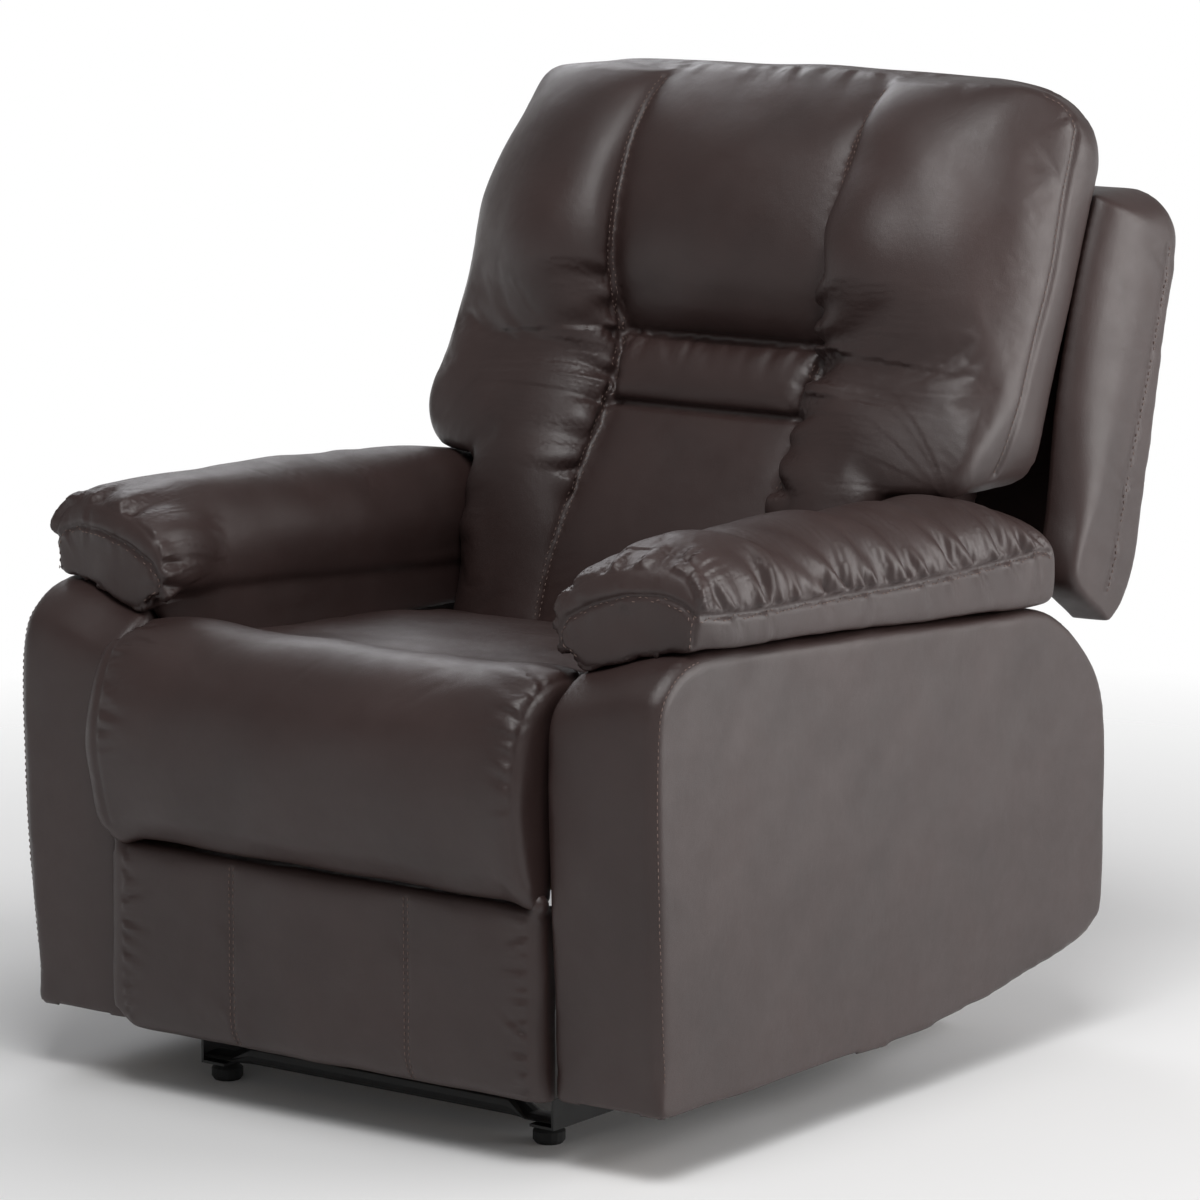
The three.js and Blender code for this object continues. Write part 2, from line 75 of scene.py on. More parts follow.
# ---------------------------------------------------------------- node materials
class Shader:
    """A small helper that builds a node material round one Principled shader."""

    def __init__(self, name):
        self.material = bpy.data.materials.new(name)
        self.material.use_nodes = True
        self.tree = self.material.node_tree
        self.main = self.tree.nodes["Principled BSDF"]
        self.place = self.node("ShaderNodeTexCoord").outputs["Object"]

    def node(self, kind, **values):
        made = self.tree.nodes.new(kind)
        for key, value in values.items():
            if hasattr(made, key):
                setattr(made, key, value)
            else:
                made.inputs[key.replace("_", " ")].default_value = value
        return made

    def link(self, output, target):
        self.tree.links.new(output, target)

    def noise(self, scale, detail=3.0, roughness=0.55, vector=None):
        """Factor of a noise texture, on the object's own coordinates unless others are given."""
        made = self.node("ShaderNodeTexNoise", Scale=scale, Detail=detail, Roughness=roughness)
        self.link(vector or self.place, made.inputs["Vector"])
        return made.outputs["Fac"]

    def cells(self, scale):
        """Distance to the nearest edge between random cells."""
        made = self.node("ShaderNodeTexVoronoi", feature="DISTANCE_TO_EDGE", Scale=scale)
        self.link(self.place, made.inputs["Vector"])
        return made.outputs["Distance"]

    def ramp(self, factor, low, high, low_value=0.0, high_value=1.0):
        made = self.node("ShaderNodeMapRange", From_Min=low, From_Max=high)
        made.inputs["To Min"].default_value = low_value
        made.inputs["To Max"].default_value = high_value
        self.link(factor, made.inputs["Value"])
        return made.outputs["Result"]

    def math(self, operation, a, b):
        made = self.node("ShaderNodeMath", operation=operation)
        for socket, value in zip(made.inputs, (a, b)):
            if isinstance(value, (int, float)):
                socket.default_value = value
            else:
                self.link(value, socket)
        return made.outputs[0]

    def mix(self, factor, a, b):
        made = self.node("ShaderNodeMix", data_type="RGBA")
        self.link(factor, made.inputs[0])
        for socket, value in ((made.inputs[6], a), (made.inputs[7], b)):
            if isinstance(value, tuple):
                socket.default_value = value
            else:
                self.link(value, socket)
        return made.outputs[2]

    def bump(self, height, strength, distance, normal=None):
        made = self.node("ShaderNodeBump", Strength=strength, Distance=distance)
        self.link(height, made.inputs["Height"])
        if normal is not None:
            self.link(normal, made.inputs["Normal"])
        return made.outputs["Normal"]

    def set(self, **values):
        for key, value in values.items():
            self.main.inputs[key.replace("_", " ")].default_value = value


def leather_material():
    """Faux leather: a fine pebble grain, faint creases, soft colour drift and a thin clear coat."""
    s = Shader("leather")
    s.link(s.mix(s.ramp(s.noise(7.0, 4.0), 0.3, 0.7), LEATHER_DEEP, LEATHER), s.main.inputs["Base Color"])
    s.link(s.ramp(s.noise(34.0, 3.0), 0.3, 0.7, *LEATHER_ROUGHNESS), s.main.inputs["Roughness"])
    pebbles = s.ramp(s.cells(PEBBLES_PER_METRE), 0.0, 0.28)
    creases = s.ramp(s.cells(CREASES_PER_METRE), 0.0, 0.06)
    grain = s.math("ADD", s.math("MULTIPLY", pebbles, 0.7), s.math("MULTIPLY", creases, 0.3))
    fine = s.bump(grain, 0.32, 0.00035)
    s.link(s.bump(s.noise(42.0, 4.0, 0.6), 0.10, 0.004, fine), s.main.inputs["Normal"])
    s.set(Specular_IOR_Level=0.46, Coat_Weight=0.08, Coat_Roughness=0.26)
    return s.material


def thread_material():
    """Twisted polyester thread."""
    s = Shader("thread")
    twist = s.noise(1400.0, 2.0)
    s.link(s.mix(twist, tuple(0.6 * c for c in THREAD[:3]) + (1,), THREAD), s.main.inputs["Base Color"])
    s.link(s.bump(twist, 0.3, 0.0003), s.main.inputs["Normal"])
    s.set(Roughness=0.6)
    return s.material


def painted_steel(name, color, roughness):
    """Powder-coated steel: an orange-peel bump and dust that dulls it here and there."""
    s = Shader(name)
    s.set(Base_Color=color, Metallic=0.0, Specular_IOR_Level=0.5)
    dull = s.ramp(s.noise(22.0, 4.0), 0.35, 0.7, roughness, roughness + 0.2)
    s.link(dull, s.main.inputs["Roughness"])
    s.link(s.bump(s.noise(700.0, 2.0), 0.25, 0.0003), s.main.inputs["Normal"])
    return s.material


def plated_steel(name, color, roughness):
    """Zinc-plated strip: rolled streaks along its length and faint cloudy spangle."""
    s = Shader(name)
    stretch = s.node("ShaderNodeMapping")
    stretch.inputs["Scale"].default_value = (1.0, 12.0, 60.0)
    s.link(s.place, stretch.inputs["Vector"])
    streaks = s.noise(14.0, 4.0, vector=stretch.outputs["Vector"])
    dark = tuple(0.55 * c for c in color[:3]) + (1,)
    s.link(s.mix(s.ramp(streaks, 0.3, 0.7), dark, color), s.main.inputs["Base Color"])
    s.link(s.ramp(streaks, 0.3, 0.7, roughness, roughness + 0.15), s.main.inputs["Roughness"])
    s.link(s.bump(streaks, 0.1, 0.0003), s.main.inputs["Normal"])
    s.set(Metallic=0.9)
    return s.material


def timber_material():
    """Plain softwood and ply: long grain with darker growth lines."""
    s = Shader("timber")
    stretch = s.node("ShaderNodeMapping")
    stretch.inputs["Scale"].default_value = (3.0, 26.0, 26.0)
    s.link(s.place, stretch.inputs["Vector"])
    rings = s.noise(5.0, 5.0, 0.6, vector=stretch.outputs["Vector"])
    s.link(s.mix(s.ramp(rings, 0.4, 0.65), TIMBER_DARK, TIMBER), s.main.inputs["Base Color"])
    s.link(s.bump(rings, 0.2, 0.0008), s.main.inputs["Normal"])
    s.set(Roughness=0.75)
    return s.material


def moulded_material(name, color, roughness):
    """Moulded rubber or plastic with a fine spark-eroded texture."""
    s = Shader(name)
    s.set(Base_Color=color)
    s.link(s.ramp(s.noise(60.0, 3.0), 0.3, 0.7, roughness, roughness + 0.12), s.main.inputs["Roughness"])
    s.link(s.bump(s.noise(1100.0, 2.0), 0.3, 0.0002), s.main.inputs["Normal"])
    return s.material


MATERIALS = {
    "leather": leather_material(),
    "thread": thread_material(),
    "steel_black": painted_steel("black_steel", (0.012, 0.012, 0.012, 1), 0.38),
    "steel_zinc": plated_steel("zinc_steel", (0.44, 0.45, 0.47, 1), 0.3),
    "spring_steel": plated_steel("spring_steel", (0.2, 0.21, 0.23, 1), 0.34),
    "timber": timber_material(),
    "rubber": moulded_material("rubber", (0.012, 0.012, 0.012, 1), 0.7),
    "plastic": moulded_material("plastic", (0.016, 0.014, 0.013, 1), 0.42),
}
NODE_LOOKS = {
    "base_": "steel_black", "arm_bracket": "steel_black", "drive_tube": "steel_black",
    "foot_": "rubber", "release_": "plastic", "seat_spring": "spring_steel",
    "arm_post": "timber", "seat_rail": "timber", "back_stile": "timber", "back_rail": "timber",
    "footrest_board": "timber",
}
ZINC_NODES = ("swing_bar", "drive_bar", "cross_bar", "lift_bar", "short_bar", "control_bar",
              "seat_plate", "back_bracket", "footrest_bracket")
NODE_LOOKS.update({start: "steel_zinc" for start in ZINC_NODES})


def dress_cad_nodes():
    """Gives every CAD node that stays in view its procedural material."""
    for name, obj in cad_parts.items():
        look = next((v for k, v in NODE_LOOKS.items() if name.startswith(k)), None)
        if look:
            obj.data.materials.clear()
            obj.data.materials.append(MATERIALS[look])


# ---------------------------------------------------------------- curves and falloffs
def smooth(t):
    """The smooth step from 0 to 1."""
    t = np.clip(t, 0.0, 1.0)
    return t * t * (3 - 2 * t)


def fade(value, start, end):
    """0 before start, 1 after end, smooth between."""
    return smooth((value - start) / (end - start))


def bell(value, width):
    """1 at 0, falling off on both sides over about a width."""
    return np.exp(-((value / width) ** 2))


class Line:
    """A smooth function through a few (position, value) points."""

    def __init__(self, *points):
        self.x, self.y = np.array(sorted(points), float).T
        h = np.diff(self.x)
        slope = np.diff(self.y) / h
        inner = np.where(slope[:-1] * slope[1:] > 0, (slope[:-1] + slope[1:]) / 2, 0.0)
        self.m = np.concatenate([[slope[0]], inner, [slope[-1]]])

    def __call__(self, x):
        x = np.clip(np.asarray(x, float), self.x[0], self.x[-1])
        i = np.clip(np.searchsorted(self.x, x) - 1, 0, len(self.x) - 2)
        h = self.x[i + 1] - self.x[i]
        t = (x - self.x[i]) / h
        a = (1 + 2 * t) * (1 - t) ** 2
        b = t * (1 - t) ** 2 * h
        c = t * t * (3 - 2 * t)
        d = t * t * (t - 1) * h
        return a * self.y[i] + b * self.m[i] + c * self.y[i + 1] + d * self.m[i + 1]


def resample(points, step):
    """Points spaced evenly along a polyline."""
    points = np.asarray(points, float)
    lengths = np.concatenate([[0], np.cumsum(np.linalg.norm(np.diff(points, axis=0), axis=1))])
    count = max(2, int(round(lengths[-1] / step)) + 1)
    at = np.linspace(0, lengths[-1], count)
    return np.stack([np.interp(at, lengths, points[:, k]) for k in range(points.shape[1])], 1)


def rounded(outline, radius, steps=5):
    """A closed 2-D outline with its corners rounded by arcs of about a radius."""
    outline = np.asarray(outline, float)
    radii = np.broadcast_to(radius, len(outline))
    made = []
    for i, corner in enumerate(outline):
        before, after = outline[i - 1] - corner, outline[(i + 1) % len(outline)] - corner
        reach_a = min(radii[i], np.linalg.norm(before) * 0.48)
        reach_b = min(radii[i], np.linalg.norm(after) * 0.48)
        a = corner + before / np.linalg.norm(before) * reach_a
        b = corner + after / np.linalg.norm(after) * reach_b
        t = np.linspace(0, 1, steps)[:, None]
        made.extend((1 - t) ** 2 * a + 2 * t * (1 - t) * corner + t**2 * b)
    return np.array(made)


def row(x, y, z):
    """Points from three coordinates, each an array or one number for all of them."""
    return np.stack(np.broadcast_arrays(x, y, z), 1)


# ---------------------------------------------------------------- meshes
def new_object(name, points, faces, material="leather"):
    """A smooth-shaded mesh object from points in millimetres."""
    mesh = bpy.data.meshes.new(name)
    mesh.from_pydata((np.asarray(points) * MM).tolist(), [], faces)
    mesh.materials.append(MATERIALS[material])
    mesh.polygons.foreach_set("use_smooth", [True] * len(mesh.polygons))
    mesh.update()
    obj = bpy.data.objects.new(name, mesh)
    bpy.context.scene.collection.objects.link(obj)
    return obj


def skin(sections):
    """Points and faces of a closed skin through sections of equal point counts, with capped ends."""
    sections = np.asarray(sections, float)
    rows, count = sections.shape[:2]
    points = np.concatenate([sections.reshape(-1, 3), sections[[0, -1]].mean(axis=1)])
    near, far = rows * count, rows * count + 1
    faces = []
    for j in range(count):
        k = (j + 1) % count
        faces.append((near, k, j))
        faces.append((far, (rows - 1) * count + j, (rows - 1) * count + k))
        for i in range(rows - 1):
            a, b = i * count, (i + 1) * count
            faces.append((a + j, a + k, b + k, b + j))
    triangles = [f[:3] for f in faces] + [(f[0], f[2], f[3]) for f in faces if len(f) == 4]
    corners = points[np.array(triangles)]
    volume = np.einsum("ij,ij->i", corners[:, 0], np.cross(corners[:, 1], corners[:, 2])).sum()
    if volume < 0:
        faces = [f[::-1] for f in faces]
    return points, faces


def join_skins(*skins):
    """Several skins as one list of points and faces."""
    points, faces, start = [], [], 0
    for p, f in skins:
        points.append(p)
        faces.extend([tuple(i + start for i in face) for face in f])
        start += len(p)
    return np.concatenate(points), faces


def baked(obj):
    """Applies an object's modifiers to its mesh."""
    graph = bpy.context.evaluated_depsgraph_get()
    made = bpy.data.meshes.new_from_object(obj.evaluated_get(graph))
    obj.modifiers.clear()
    SURFACES.pop(obj.name, None)
    old, obj.data = obj.data, made
    bpy.data.meshes.remove(old)
    made.polygons.foreach_set("use_smooth", [True] * len(made.polygons))


def remeshed(obj, voxel, relax):
    """Gives an object an even mesh, relaxed a few times, so that joined skins become one cover."""
    remesh = obj.modifiers.new("even", "REMESH")
    remesh.mode = "VOXEL"
    remesh.voxel_size = voxel * MM
    soften = obj.modifiers.new("soften", "SMOOTH")
    soften.factor = 0.5
    soften.iterations = relax
    baked(obj)


def subdivided(obj):
    """Halves the mesh's edges with one smooth subdivision."""
    more = obj.modifiers.new("fine", "SUBSURF")
    more.levels = more.render_levels = 1
    baked(obj)


def per_vertex(obj, key):
    """One vector per vertex: its place ("co", in metres) or its normal ("normal")."""
    flat = np.empty(len(obj.data.vertices) * 3, np.float32)
    obj.data.vertices.foreach_get(key, flat)
    return flat.reshape(-1, 3).astype(float)


def coordinates(obj):
    """The vertices' places in millimetres."""
    return per_vertex(obj, "co") / MM


def normals(obj):
    return per_vertex(obj, "normal")


def place(obj, points):
    """Moves the vertices to places in millimetres."""
    obj.data.vertices.foreach_set("co", (points * MM).astype(np.float32).ravel())
    obj.data.update()
    SURFACES.pop(obj.name, None)


def push(obj, amount):
    """Moves every vertex along its own normal by an amount in millimetres."""
    place(obj, coordinates(obj) + normals(obj) * amount[:, None])


def nearest(points, line, within=200.0):
    """For each point, its distance to a densely sampled line and the arc length of the closest sample."""
    length = np.concatenate([[0], np.cumsum(np.linalg.norm(np.diff(line, axis=0), axis=1))])
    away, along = np.full(len(points), 1e4), np.zeros(len(points))
    low, high = line.min(axis=0) - within, line.max(axis=0) + within
    close = np.nonzero(np.all((points > low) & (points < high), axis=1))[0]
    tree = KDTree(len(line))
    for i, p in enumerate(line):
        tree.insert(p, i)
    tree.balance()
    for i, p in zip(close, points[close]):
        _, k, distance = tree.find(p)
        away[i], along[i] = distance, length[k]
    return away, along


SURFACES = {}


def surface_of(obj):
    """A search tree over an object's faces, kept until its vertices move."""
    if obj.name not in SURFACES:
        polygons = [tuple(p.vertices) for p in obj.data.polygons]
        SURFACES[obj.name] = BVHTree.FromPolygons(coordinates(obj).tolist(), polygons)
    return SURFACES[obj.name]


REARWARD = (0, 1, 0)


def cast(tree, points, direction):
    """Projects points along a direction onto a surface: hit points and normals."""
    direction = Vector(direction).normalized()
    hits, ups = [], []
    for p in points:
        hit, normal, _, _ = tree.ray_cast(Vector(p) - direction * 900, direction)
        if hit is not None:
            hits.append(hit)
            ups.append(normal)
    return np.array(hits), np.array(ups)


def settle(tree, points):
    """The closest surface points to some points, with the normals there."""
    found = [tree.find_nearest(Vector(p)) for p in points]
    return np.array([f[0] for f in found]), np.array([f[1] for f in found])


# ---------------------------------------------------------------- sewing
def groove(obj, line, depth, width):
    """Presses a seam into a surface along a line on it; depth is a number or one number per line point."""
    line = np.asarray(line)
    fine = resample(line, 3.0)
    away, along = nearest(coordinates(obj), fine, 40.0)
    depths = np.broadcast_to(depth, len(line))
    spots = np.concatenate([[0], np.cumsum(np.linalg.norm(np.diff(line, axis=0), axis=1))])
    push(obj, -np.interp(along, spots, depths) * bell(away, width))


def wobble(obj, seed, height=0.8, size=90.0):
    """Very soft unevenness, so that no panel is perfectly flat."""
    rng = np.random.default_rng(seed)
    points = coordinates(obj)
    total = np.zeros(len(points))
    for _ in range(7):
        heading = rng.normal(size=3)
        heading *= 2 * math.pi / (np.linalg.norm(heading) * size * rng.uniform(0.5, 1.8))
        total += np.sin(points @ heading + rng.uniform(0, 2 * math.pi))
    push(obj, height * total / 3)


STITCH, STITCH_GAP, STITCH_THICK, STITCH_LIFT = 4.4, 2.6, 1.0, 0.35


def stitches(name, obj, line, offsets):
    """Rows of thread stitches that lie on a surface beside a line: one mesh of slim spindles."""
    tree = surface_of(obj)
    points, faces = [], []
    ring = [(math.cos(a), math.sin(a)) for a in np.arange(4) * math.pi / 2]
    for offset in offsets:
        middle = resample(line, STITCH + STITCH_GAP)
        ahead = np.gradient(middle, axis=0)
        spots, ups = settle(tree, middle)
        side = np.cross(ahead, ups)
        side /= np.linalg.norm(side, axis=1)[:, None] + 1e-9
        spots, ups = settle(tree, spots + side * offset)
        ahead = np.gradient(spots, axis=0)
        ahead /= np.linalg.norm(ahead, axis=1)[:, None] + 1e-9
        side = np.cross(ahead, ups)
        side /= np.linalg.norm(side, axis=1)[:, None] + 1e-9
        for spot, up, run, across in zip(spots, ups, ahead, side):
            start = len(points)
            centre = spot + up * STITCH_LIFT
            half, sunk = run * STITCH / 2, up * STITCH_THICK * 0.7
            points.append(centre - half - sunk)
            for part in (-0.56, 0.56):
                for c, d in ring:
                    points.append(centre + half * part + (across * c + up * d) * STITCH_THICK / 2)
            points.append(centre + half - sunk)
            a, b, end = start + 1, start + 5, start + 9
            for k in range(4):
                n = (k + 1) % 4
                faces.append((start, a + n, a + k))
                faces.append((a + k, a + n, b + n, b + k))
                faces.append((end, b + k, b + n))
    return new_object(name, points, faces, "thread")


FOLDS = {
    # ranges of the folds' spacing, height, reach and width, and the spread of their leanings
    "bolster": ((26, 50), (3.2, 8.0), (50, 125), (7, 13), 0.35),
    "bolster_fine": ((16, 30), (1.4, 3.4), (18, 52), (4.0, 6.5), 0.3),
    "lumbar_end": ((12, 20), (0.8, 2.2), (12, 26), (3.2, 5), 0.4),
    "wing": ((20, 34), (3.6, 8.5), (40, 90), (6, 10), 0.4),
    "back_edge": ((40, 90), (0.6, 1.8), (18, 46), (5, 8), 0.5),
    "lumbar_top": ((18, 48), (0.9, 2.6), (20, 46), (4, 7), 0.3),
    "crown": ((20, 48), (0.9, 2.6), (18, 44), (5, 9), 0.4),
    "seat_corner": ((12, 24), (1.0, 3.2), (16, 46), (3.6, 6), 0.5),
    "seat_rim": ((60, 120), (0.8, 2.0), (30, 60), (8, 12), 0.6),
    "footrest_end": ((9, 22), (1.2, 3.4), (8, 26), (3, 5), 0.5),
    "footrest_seam": ((50, 90), (0.4, 0.9), (14, 30), (7, 11), 0.4),
    "pad_front": ((12, 23), (3.4, 8.0), (22, 70), (3.2, 5.8), 0.35),
    "pad_pleat_left": ((24, 50), (5.0, 11.0), (24, 62), (6.0, 11.0), 0.3),
    "pad_pleat_right": ((24, 50), (5.0, 11.0), (50, 135), (6.0, 11.0), 0.3),
    "pad_pucker": ((15, 30), (2.0, 4.6), (14, 38), (3.6, 5.6), 0.35),
    "pad_boxing": ((46, 110), (0.8, 2.4), (20, 40), (5, 9), 0.6),
    "pad_panel": ((26, 50), (0.6, 1.6), (12, 26), (4, 7), 0.6),
    "outer_back": ((60, 120), (0.6, 1.8), (16, 40), (6, 10), 0.5),
}


def gathers(points, line, keep, seed, kind, fan=0.0, lean=0.0):
    """Heights of the folds of one kind that run away from a gathered seam, for points near it.

    keep masks the side of the seam that is gathered, fan opens the folds out from the middle of
    the seam, and lean is their mean leaning.
    """
    spacing, height, reach, width, slant = FOLDS[kind]
    rng = np.random.default_rng(seed)
    away, along = nearest(points, resample(line, 3.0), 3 * reach[1])
    end = np.linalg.norm(np.diff(np.asarray(line), axis=0), axis=1).sum()
    total = np.zeros(len(points))
    at = rng.uniform(2, spacing[0])
    while at < end:
        tall, run = rng.uniform(*height), rng.uniform(*reach)
        wide, tilt = rng.uniform(*width), lean + rng.uniform(-slant, slant) + fan * (2 * at / end - 1)
        bend = rng.uniform(-0.004, 0.004)
        across = along - at - tilt * away - bend * away**2
        broad = wide * (1 + away / 40.0)
        fold = bell(across, broad) - 0.8 * bell(across - 1.6 * broad, broad * 0.75)
        total += tall * fold * np.exp(-((away / run) ** 1.7)) * fade(away, 0.5, 8)
        at += rng.uniform(*spacing)
    return total * keep


STRETCH_STIFFNESS = 18.0


def puff(obj, pinned, pressure, cap, frames=12):
    """Swells a closed cover with Cloth, holding the vertices whose pin weight is 1, and applies it.

    No vertex moves further than the cap.
    """
    before = coordinates(obj)
    group = obj.vertex_groups.new(name="pin")
    for weight in np.unique(np.round(pinned, 1)):
        if weight > 0:
            chosen = np.nonzero(np.round(pinned, 1) == weight)[0].tolist()
            group.add(chosen, float(weight), "REPLACE")
    cloth = obj.modifiers.new("puff", "CLOTH")
    settings = cloth.settings
    settings.quality = 3
    settings.mass = 0.4
    settings.use_pressure = True
    settings.uniform_pressure_force = pressure
    settings.tension_stiffness = settings.compression_stiffness = STRETCH_STIFFNESS
    settings.shear_stiffness = STRETCH_STIFFNESS * 0.5
    settings.bending_stiffness = 0.6
    settings.vertex_group_mass = "pin"
    settings.effector_weights.gravity = 0.0
    cloth.collision_settings.use_collision = False
    cloth.point_cache.frame_start = 1
    cloth.point_cache.frame_end = frames
    scene = bpy.context.scene
    for number in range(1, frames + 1):
        scene.frame_set(number)
    baked(obj)
    scene.frame_set(1)
    obj.vertex_groups.clear()
    moved = coordinates(obj) - before
    size = np.linalg.norm(moved, axis=1)
    limit = cap * np.tanh(size / cap) / np.maximum(size, 1e-6)
    place(obj, before + moved * limit[:, None])


def finish_piece(obj, body, replaces=()):
    """Says which body a piece rides on and hides the CAD nodes it stands for."""
    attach(obj, body)
    if replaces:
        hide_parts(*replaces)


# ---------------------------------------------------------------- back cushion
BACK_NODES = ("head_cushion", "lumbar_pillow", "lower_cushion", "bolster_left", "bolster_right")
BACK_LOW, BACK_HIGH = span(*BACK_NODES)
SEAT_LOW, SEAT_HIGH = span("seat_cushion")
LUMBAR_LOW, LUMBAR_HIGH = span("lumbar_pillow")
BACK_HALF = BACK_HIGH[0]
WAIST_HALF = SEAT_HIGH[0] - 1
WING_FOOT = 614.0
BACK_TOP = BACK_HIGH[2]
LUMBAR_FOOT, LUMBAR_TOP = LUMBAR_LOW[2], LUMBAR_HIGH[2] + 1
WAIST_FOOT, WAIST_TOP, WAIST_DEEPER = 426.0, 690.0, 46.0
CROWN_RADIUS, REAR_RADIUS, WING_RADIUS = 64.0, 92.0, 44
REAR_LIMIT = 412.0

# By height: Y and X of the seam beside the middle panels, Y of the outer edge and of the rear,
# and how deep the bolsters' outer corners are
SEW_Y = Line((430, 80), (500, 100), (560, 124), (613, 154), (645, 178), (677, 200), (710, 222),
             (754, 236), (790, 231), (830, 225), (870, 228), (920, 243), (968, 266), (1005, 294),
             (1030, 322), (1045, 350))
SEW_X = Line((430, 152), (500, 147), (560, 139), (613, 133), (677, 132), (754, 139), (800, 143), (870, 147),
             (950, 150), (1045, 152))
EDGE_Y = Line((430, 110), (560, 158), (618, 202), (682, 226), (714, 242), (810, 286), (900, 320),
              (981, 353), (1020, 367), (1045, 382))
REAR_Y = Line((430, 214), (1045, 448))
CORNER_DEPTH = Line((430, 40), (600, 44), (740, 42), (836, 34), (925, 24), (1000, 12), (1045, 6))
SHOULDER = ((376, 364, 996), (368, 368, 1012), (354, 362, 1026), (346, 350, 1040))
# How far the left side leans over, and how much rounder its top corner is
LEFT_SLUMP = (-8.0, -4.0, 0.0)
LEFT_ROUNDER = 24


def quarter(distance, radius):
    """Rises from 0 at distance 0 to 1 at the radius, like a quarter of a circle."""
    t = np.clip(distance / radius, 0, 1)
    return np.sqrt(1 - (1 - t) ** 2)


def crown_height(x, radius=CROWN_RADIUS):
    """Height of the back's top edge across its width: level, with big round corners."""
    radius = radius + LEFT_ROUNDER * (x < 0)
    into = np.clip(np.abs(x) - (BACK_HALF - radius), 0, radius)
    return BACK_TOP - (radius - np.sqrt(radius**2 - into**2)) * 0.92


def wing_foot(x):
    """Height of the bolsters' underside, which turns up at its outer end."""
    into = np.clip(np.abs(x) - (BACK_HALF - WING_RADIUS), 0, WING_RADIUS)
    return WING_FOOT - 4 + (WING_RADIUS - np.sqrt(WING_RADIUS**2 - into**2)) * 0.85


def back_front(x, z):
    """Y of the back's front surface: a head panel, a sunk lumbar roll, a flat panel and two bolsters."""
    across = np.abs(x)
    sew_x, sew_y = SEW_X(z), SEW_Y(z)
    inner = np.clip(1 - (across / sew_x) ** 2, 0, 1)
    ends = quarter(sew_x - across, 26)
    head = (10 + 20 * inner) * quarter(z - LUMBAR_TOP, 44) * ends * (1 - 0.5 * fade(z, 950, 1040))
    roll_half = (LUMBAR_TOP - LUMBAR_FOOT) / 2
    roll = np.sqrt(np.clip(1 - ((z - LUMBAR_FOOT - roll_half) / roll_half) ** 2, 0, 1))
    lumbar = 33 * roll * ends
    panel = (6 + 6 * inner) * quarter(LUMBAR_FOOT - z, 15) * ends
    middle = sew_y + 7 * bell(z - LUMBAR_TOP, 7) * ends - np.where(
        z > LUMBAR_TOP, head, np.where(z > LUMBAR_FOOT, lumbar, panel))
    share = np.clip((across - sew_x) / (BACK_HALF - sew_x), 0, 1)
    swell = 46 * fade(z, 450, 660) * (1 - 0.42 * fade(z, 850, 1030)) + 12
    corner = CORNER_DEPTH(z)
    slope = (EDGE_Y(z) - corner - sew_y) * share**3
    bolster = sew_y + slope - swell * np.sin(np.pi * np.minimum(share**0.66, 0.93)) ** 0.72
    bolster = bolster + corner * (1 - quarter(BACK_HALF + 1 - across, 30))
    return np.where(across < sew_x, middle, bolster)


def back_sections(half, foot_of, top_of, roll_under, side_round, deepen=0.0):
    """Sections across X of one block of the back: its front follows back_front, its rear is plain.

    roll_under and side_round are the radii of its lower edge and its sides; deepen moves the rear
    back above its foot.
    """
    sections = []
    for x in np.linspace(-half, half, int(half * 2 / 5)):
        low, top = foot_of(x), top_of(x)
        z = np.linspace(low, top, 96)
        profile_z = z + (BACK_TOP - top) * fade(z, 880, top) if top > 900 else z
        front = back_front(x, profile_z)
        front = front + roll_under * (1 - quarter(z - low, roll_under))
        front = front + side_round * (1 - quarter(half - abs(x), side_round))
        rear_top = min(top, crown_height(x, REAR_RADIUS) - 3) if top > 900 else top
        rear_z = np.linspace(rear_top, low, 9)
        rear = np.minimum(REAR_Y(rear_z), REAR_LIMIT) + deepen * fade(rear_z, low + 30, low + 90)
        front = np.minimum(front, np.minimum(REAR_Y(z), REAR_LIMIT) - 12)
        sections.append(np.concatenate([row(x, front, z), row(x, rear, rear_z)]))
    return sections


def back_cushion():
    """The back's one sewn cover: head panel, lumbar roll, lower panel and both bolsters."""
    wings = skin(back_sections(BACK_HALF, wing_foot, crown_height, 34, 0.01))
    waist = skin(back_sections(WAIST_HALF, lambda x: WAIST_FOOT, lambda x: WAIST_TOP, 8, 26, WAIST_DEEPER))
    obj = new_object("back_cushion", *join_skins(wings, waist))
    remeshed(obj, 5.5, relax=4)
    bulge_sides(obj)
    points, up = coordinates(obj), normals(obj)
    x, y, z = points.T
    behind = fade(y, REAR_Y(z) - 34, REAR_Y(z) - 12)
    facing = up[:, 1] < 0
    seams = [bell(np.abs(np.abs(x) - SEW_X(z)), 9) * facing, 0.7 * fade(-up[:, 2], 0.4, 0.8)]
    for height in (LUMBAR_FOOT, LUMBAR_TOP):
        seams.append(bell(z - height, 8) * (np.abs(x) < SEW_X(z) + 6) * facing)
    pinned = np.clip(np.max([behind] + seams, axis=0) * 1.2, 0, 1)
    puff(obj, pinned, pressure=4.0, cap=14)
    subdivided(obj)
    wobble(obj, 3, 1.2, 120)
    lines = back_seam_lines(obj)
    for line in lines["sew"]:
        z = np.asarray(line)[:, 2]
        groove(obj, line, 1.6 + 4.6 * bell(z - 716, 110), 5.0)
    for line in lines["lumbar"]:
        groove(obj, line, 6.0, 4.5)
    for line in lines["edge"]:
        groove(obj, line, 3.0, 4.0)
    back_folds(obj, lines)
    finish_piece(obj, "back", replaces=BACK_NODES)
    for key, rows in {"sew": (-3.4, 3.4), "edge": (-4.5,)}.items():
        for i, line in enumerate(lines[key]):
            finish_piece(stitches(f"back_{key}_stitch_{i}", obj, line, rows), "back")


